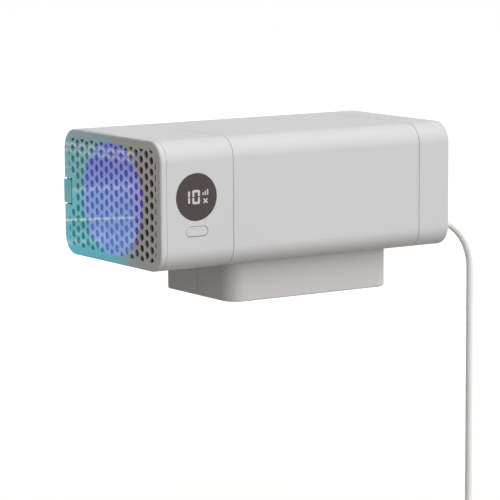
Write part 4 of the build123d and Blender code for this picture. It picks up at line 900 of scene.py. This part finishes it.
# Studio: pale floor, even light, and a white surround that only the camera and mirrors see
studioLook = {
    "surround": "#ffffff",
    "ambient": 0.68,
    "ambientSwing": 1.19,
    "ambientFrom": (0.58, -0.82, 0.1),
    "darkestAmbient": 0.08,
    "floorGapMm": 140.0,
    "floorColor": "#7f7973",
    "floorNear": 0.7,
    "floorFadeM": (0.5, 2.0),
    "floorSizeM": 12,
    "keyWatts": 1.9,
    "keySizeM": 1.2,
    "keyPlaceM": (0.5, -1.3, 1.35),
    "keyTargetM": (0.0, -0.05, 0.0),
}


def whereSeen(tree):
    # one where the camera, a reflection or a view through glass meets the surface
    rays = addNode(tree, "LightPath").outputs
    seen = addNode(tree, "Math", larger, {0: rays["Is Camera Ray"], 1: rays["Is Glossy Ray"]})
    return addNode(tree, "Math", larger, {0: seen, 1: rays["Is Transmission Ray"]})


def makeWorld():
    world = bpy.data.worlds.new("studioWorld")
    bpy.context.scene.world = world
    world.use_nodes = True
    tree = world.node_tree
    tree.nodes.clear()
    # the light comes mostly from the front and the right, and falls off towards the grille and the back
    toward = addNode(tree, "TexCoord").outputs["Generated"]
    facing = addNode(tree, "VectorMath", {"operation": 'DOT_PRODUCT'},
                     {0: toward, 1: studioLook["ambientFrom"]}).outputs["Value"]
    swing = addNode(tree, "Math", times, {0: facing, 1: studioLook["ambientSwing"]})
    level = addNode(tree, "Math", plus, {0: swing, 1: studioLook["ambient"]})
    level = addNode(tree, "Math", larger, {0: level, 1: studioLook["darkestAmbient"]})
    surround = toLinear(studioLook["surround"])
    light = addNode(tree, "Background", None, {"Color": surround, "Strength": level})
    white = addNode(tree, "Background", None, {"Color": surround, "Strength": 1.0})
    mix = addNode(tree, "MixShader", None, {0: whereSeen(tree), 1: light, 2: white})
    addNode(tree, "OutputWorld", None, {"Surface": mix})


def makeFloor():
    clearSelection()
    height = cadBox[0][2] - mm(studioLook["floorGapMm"])
    bpy.ops.mesh.primitive_plane_add(size=studioLook["floorSizeM"], location=(0, 0, height))
    floor = bpy.context.object
    floor.name = "studioFloor"
    material, tree, shader, place = startMaterial("floorPaleBoard", studioLook["floorColor"], 0.9)
    # pale round the object, and white farther out so that no horizon shows
    reach = addNode(tree, "VectorMath", {"operation": 'LENGTH'}, {0: place}).outputs["Value"]
    near, far = studioLook["floorFadeM"]
    level = addNode(tree, "MapRange", smooth,
                    {0: reach, 1: near, 2: far, 3: studioLook["floorNear"], 4: 1.0})
    shown = addNode(tree, "Math", times, {0: whereSeen(tree), 1: level})
    surround = toLinear(studioLook["surround"])
    fillInputs(tree, shader, {"Emission Color": surround, "Emission Strength": shown})
    floor.data.materials.append(material)


def makeKeyLamp():
    # a soft square lamp above the front, turned to the object
    clearSelection()
    bpy.ops.object.light_add(type='AREA', location=studioLook["keyPlaceM"])
    lamp = bpy.context.object
    lamp.name = "keySoftbox"
    lamp.data.shape = 'SQUARE'
    lamp.data.size = studioLook["keySizeM"]
    lamp.data.energy = studioLook["keyWatts"]
    aim = Vector(studioLook["keyTargetM"]) - Vector(studioLook["keyPlaceM"])
    lamp.rotation_euler = aim.to_track_quat('-Z', 'Y').to_euler()


makeWorld()
makeFloor()
makeKeyLamp()
bpy.context.scene.view_settings.view_transform = 'Standard'
print("studio lit")
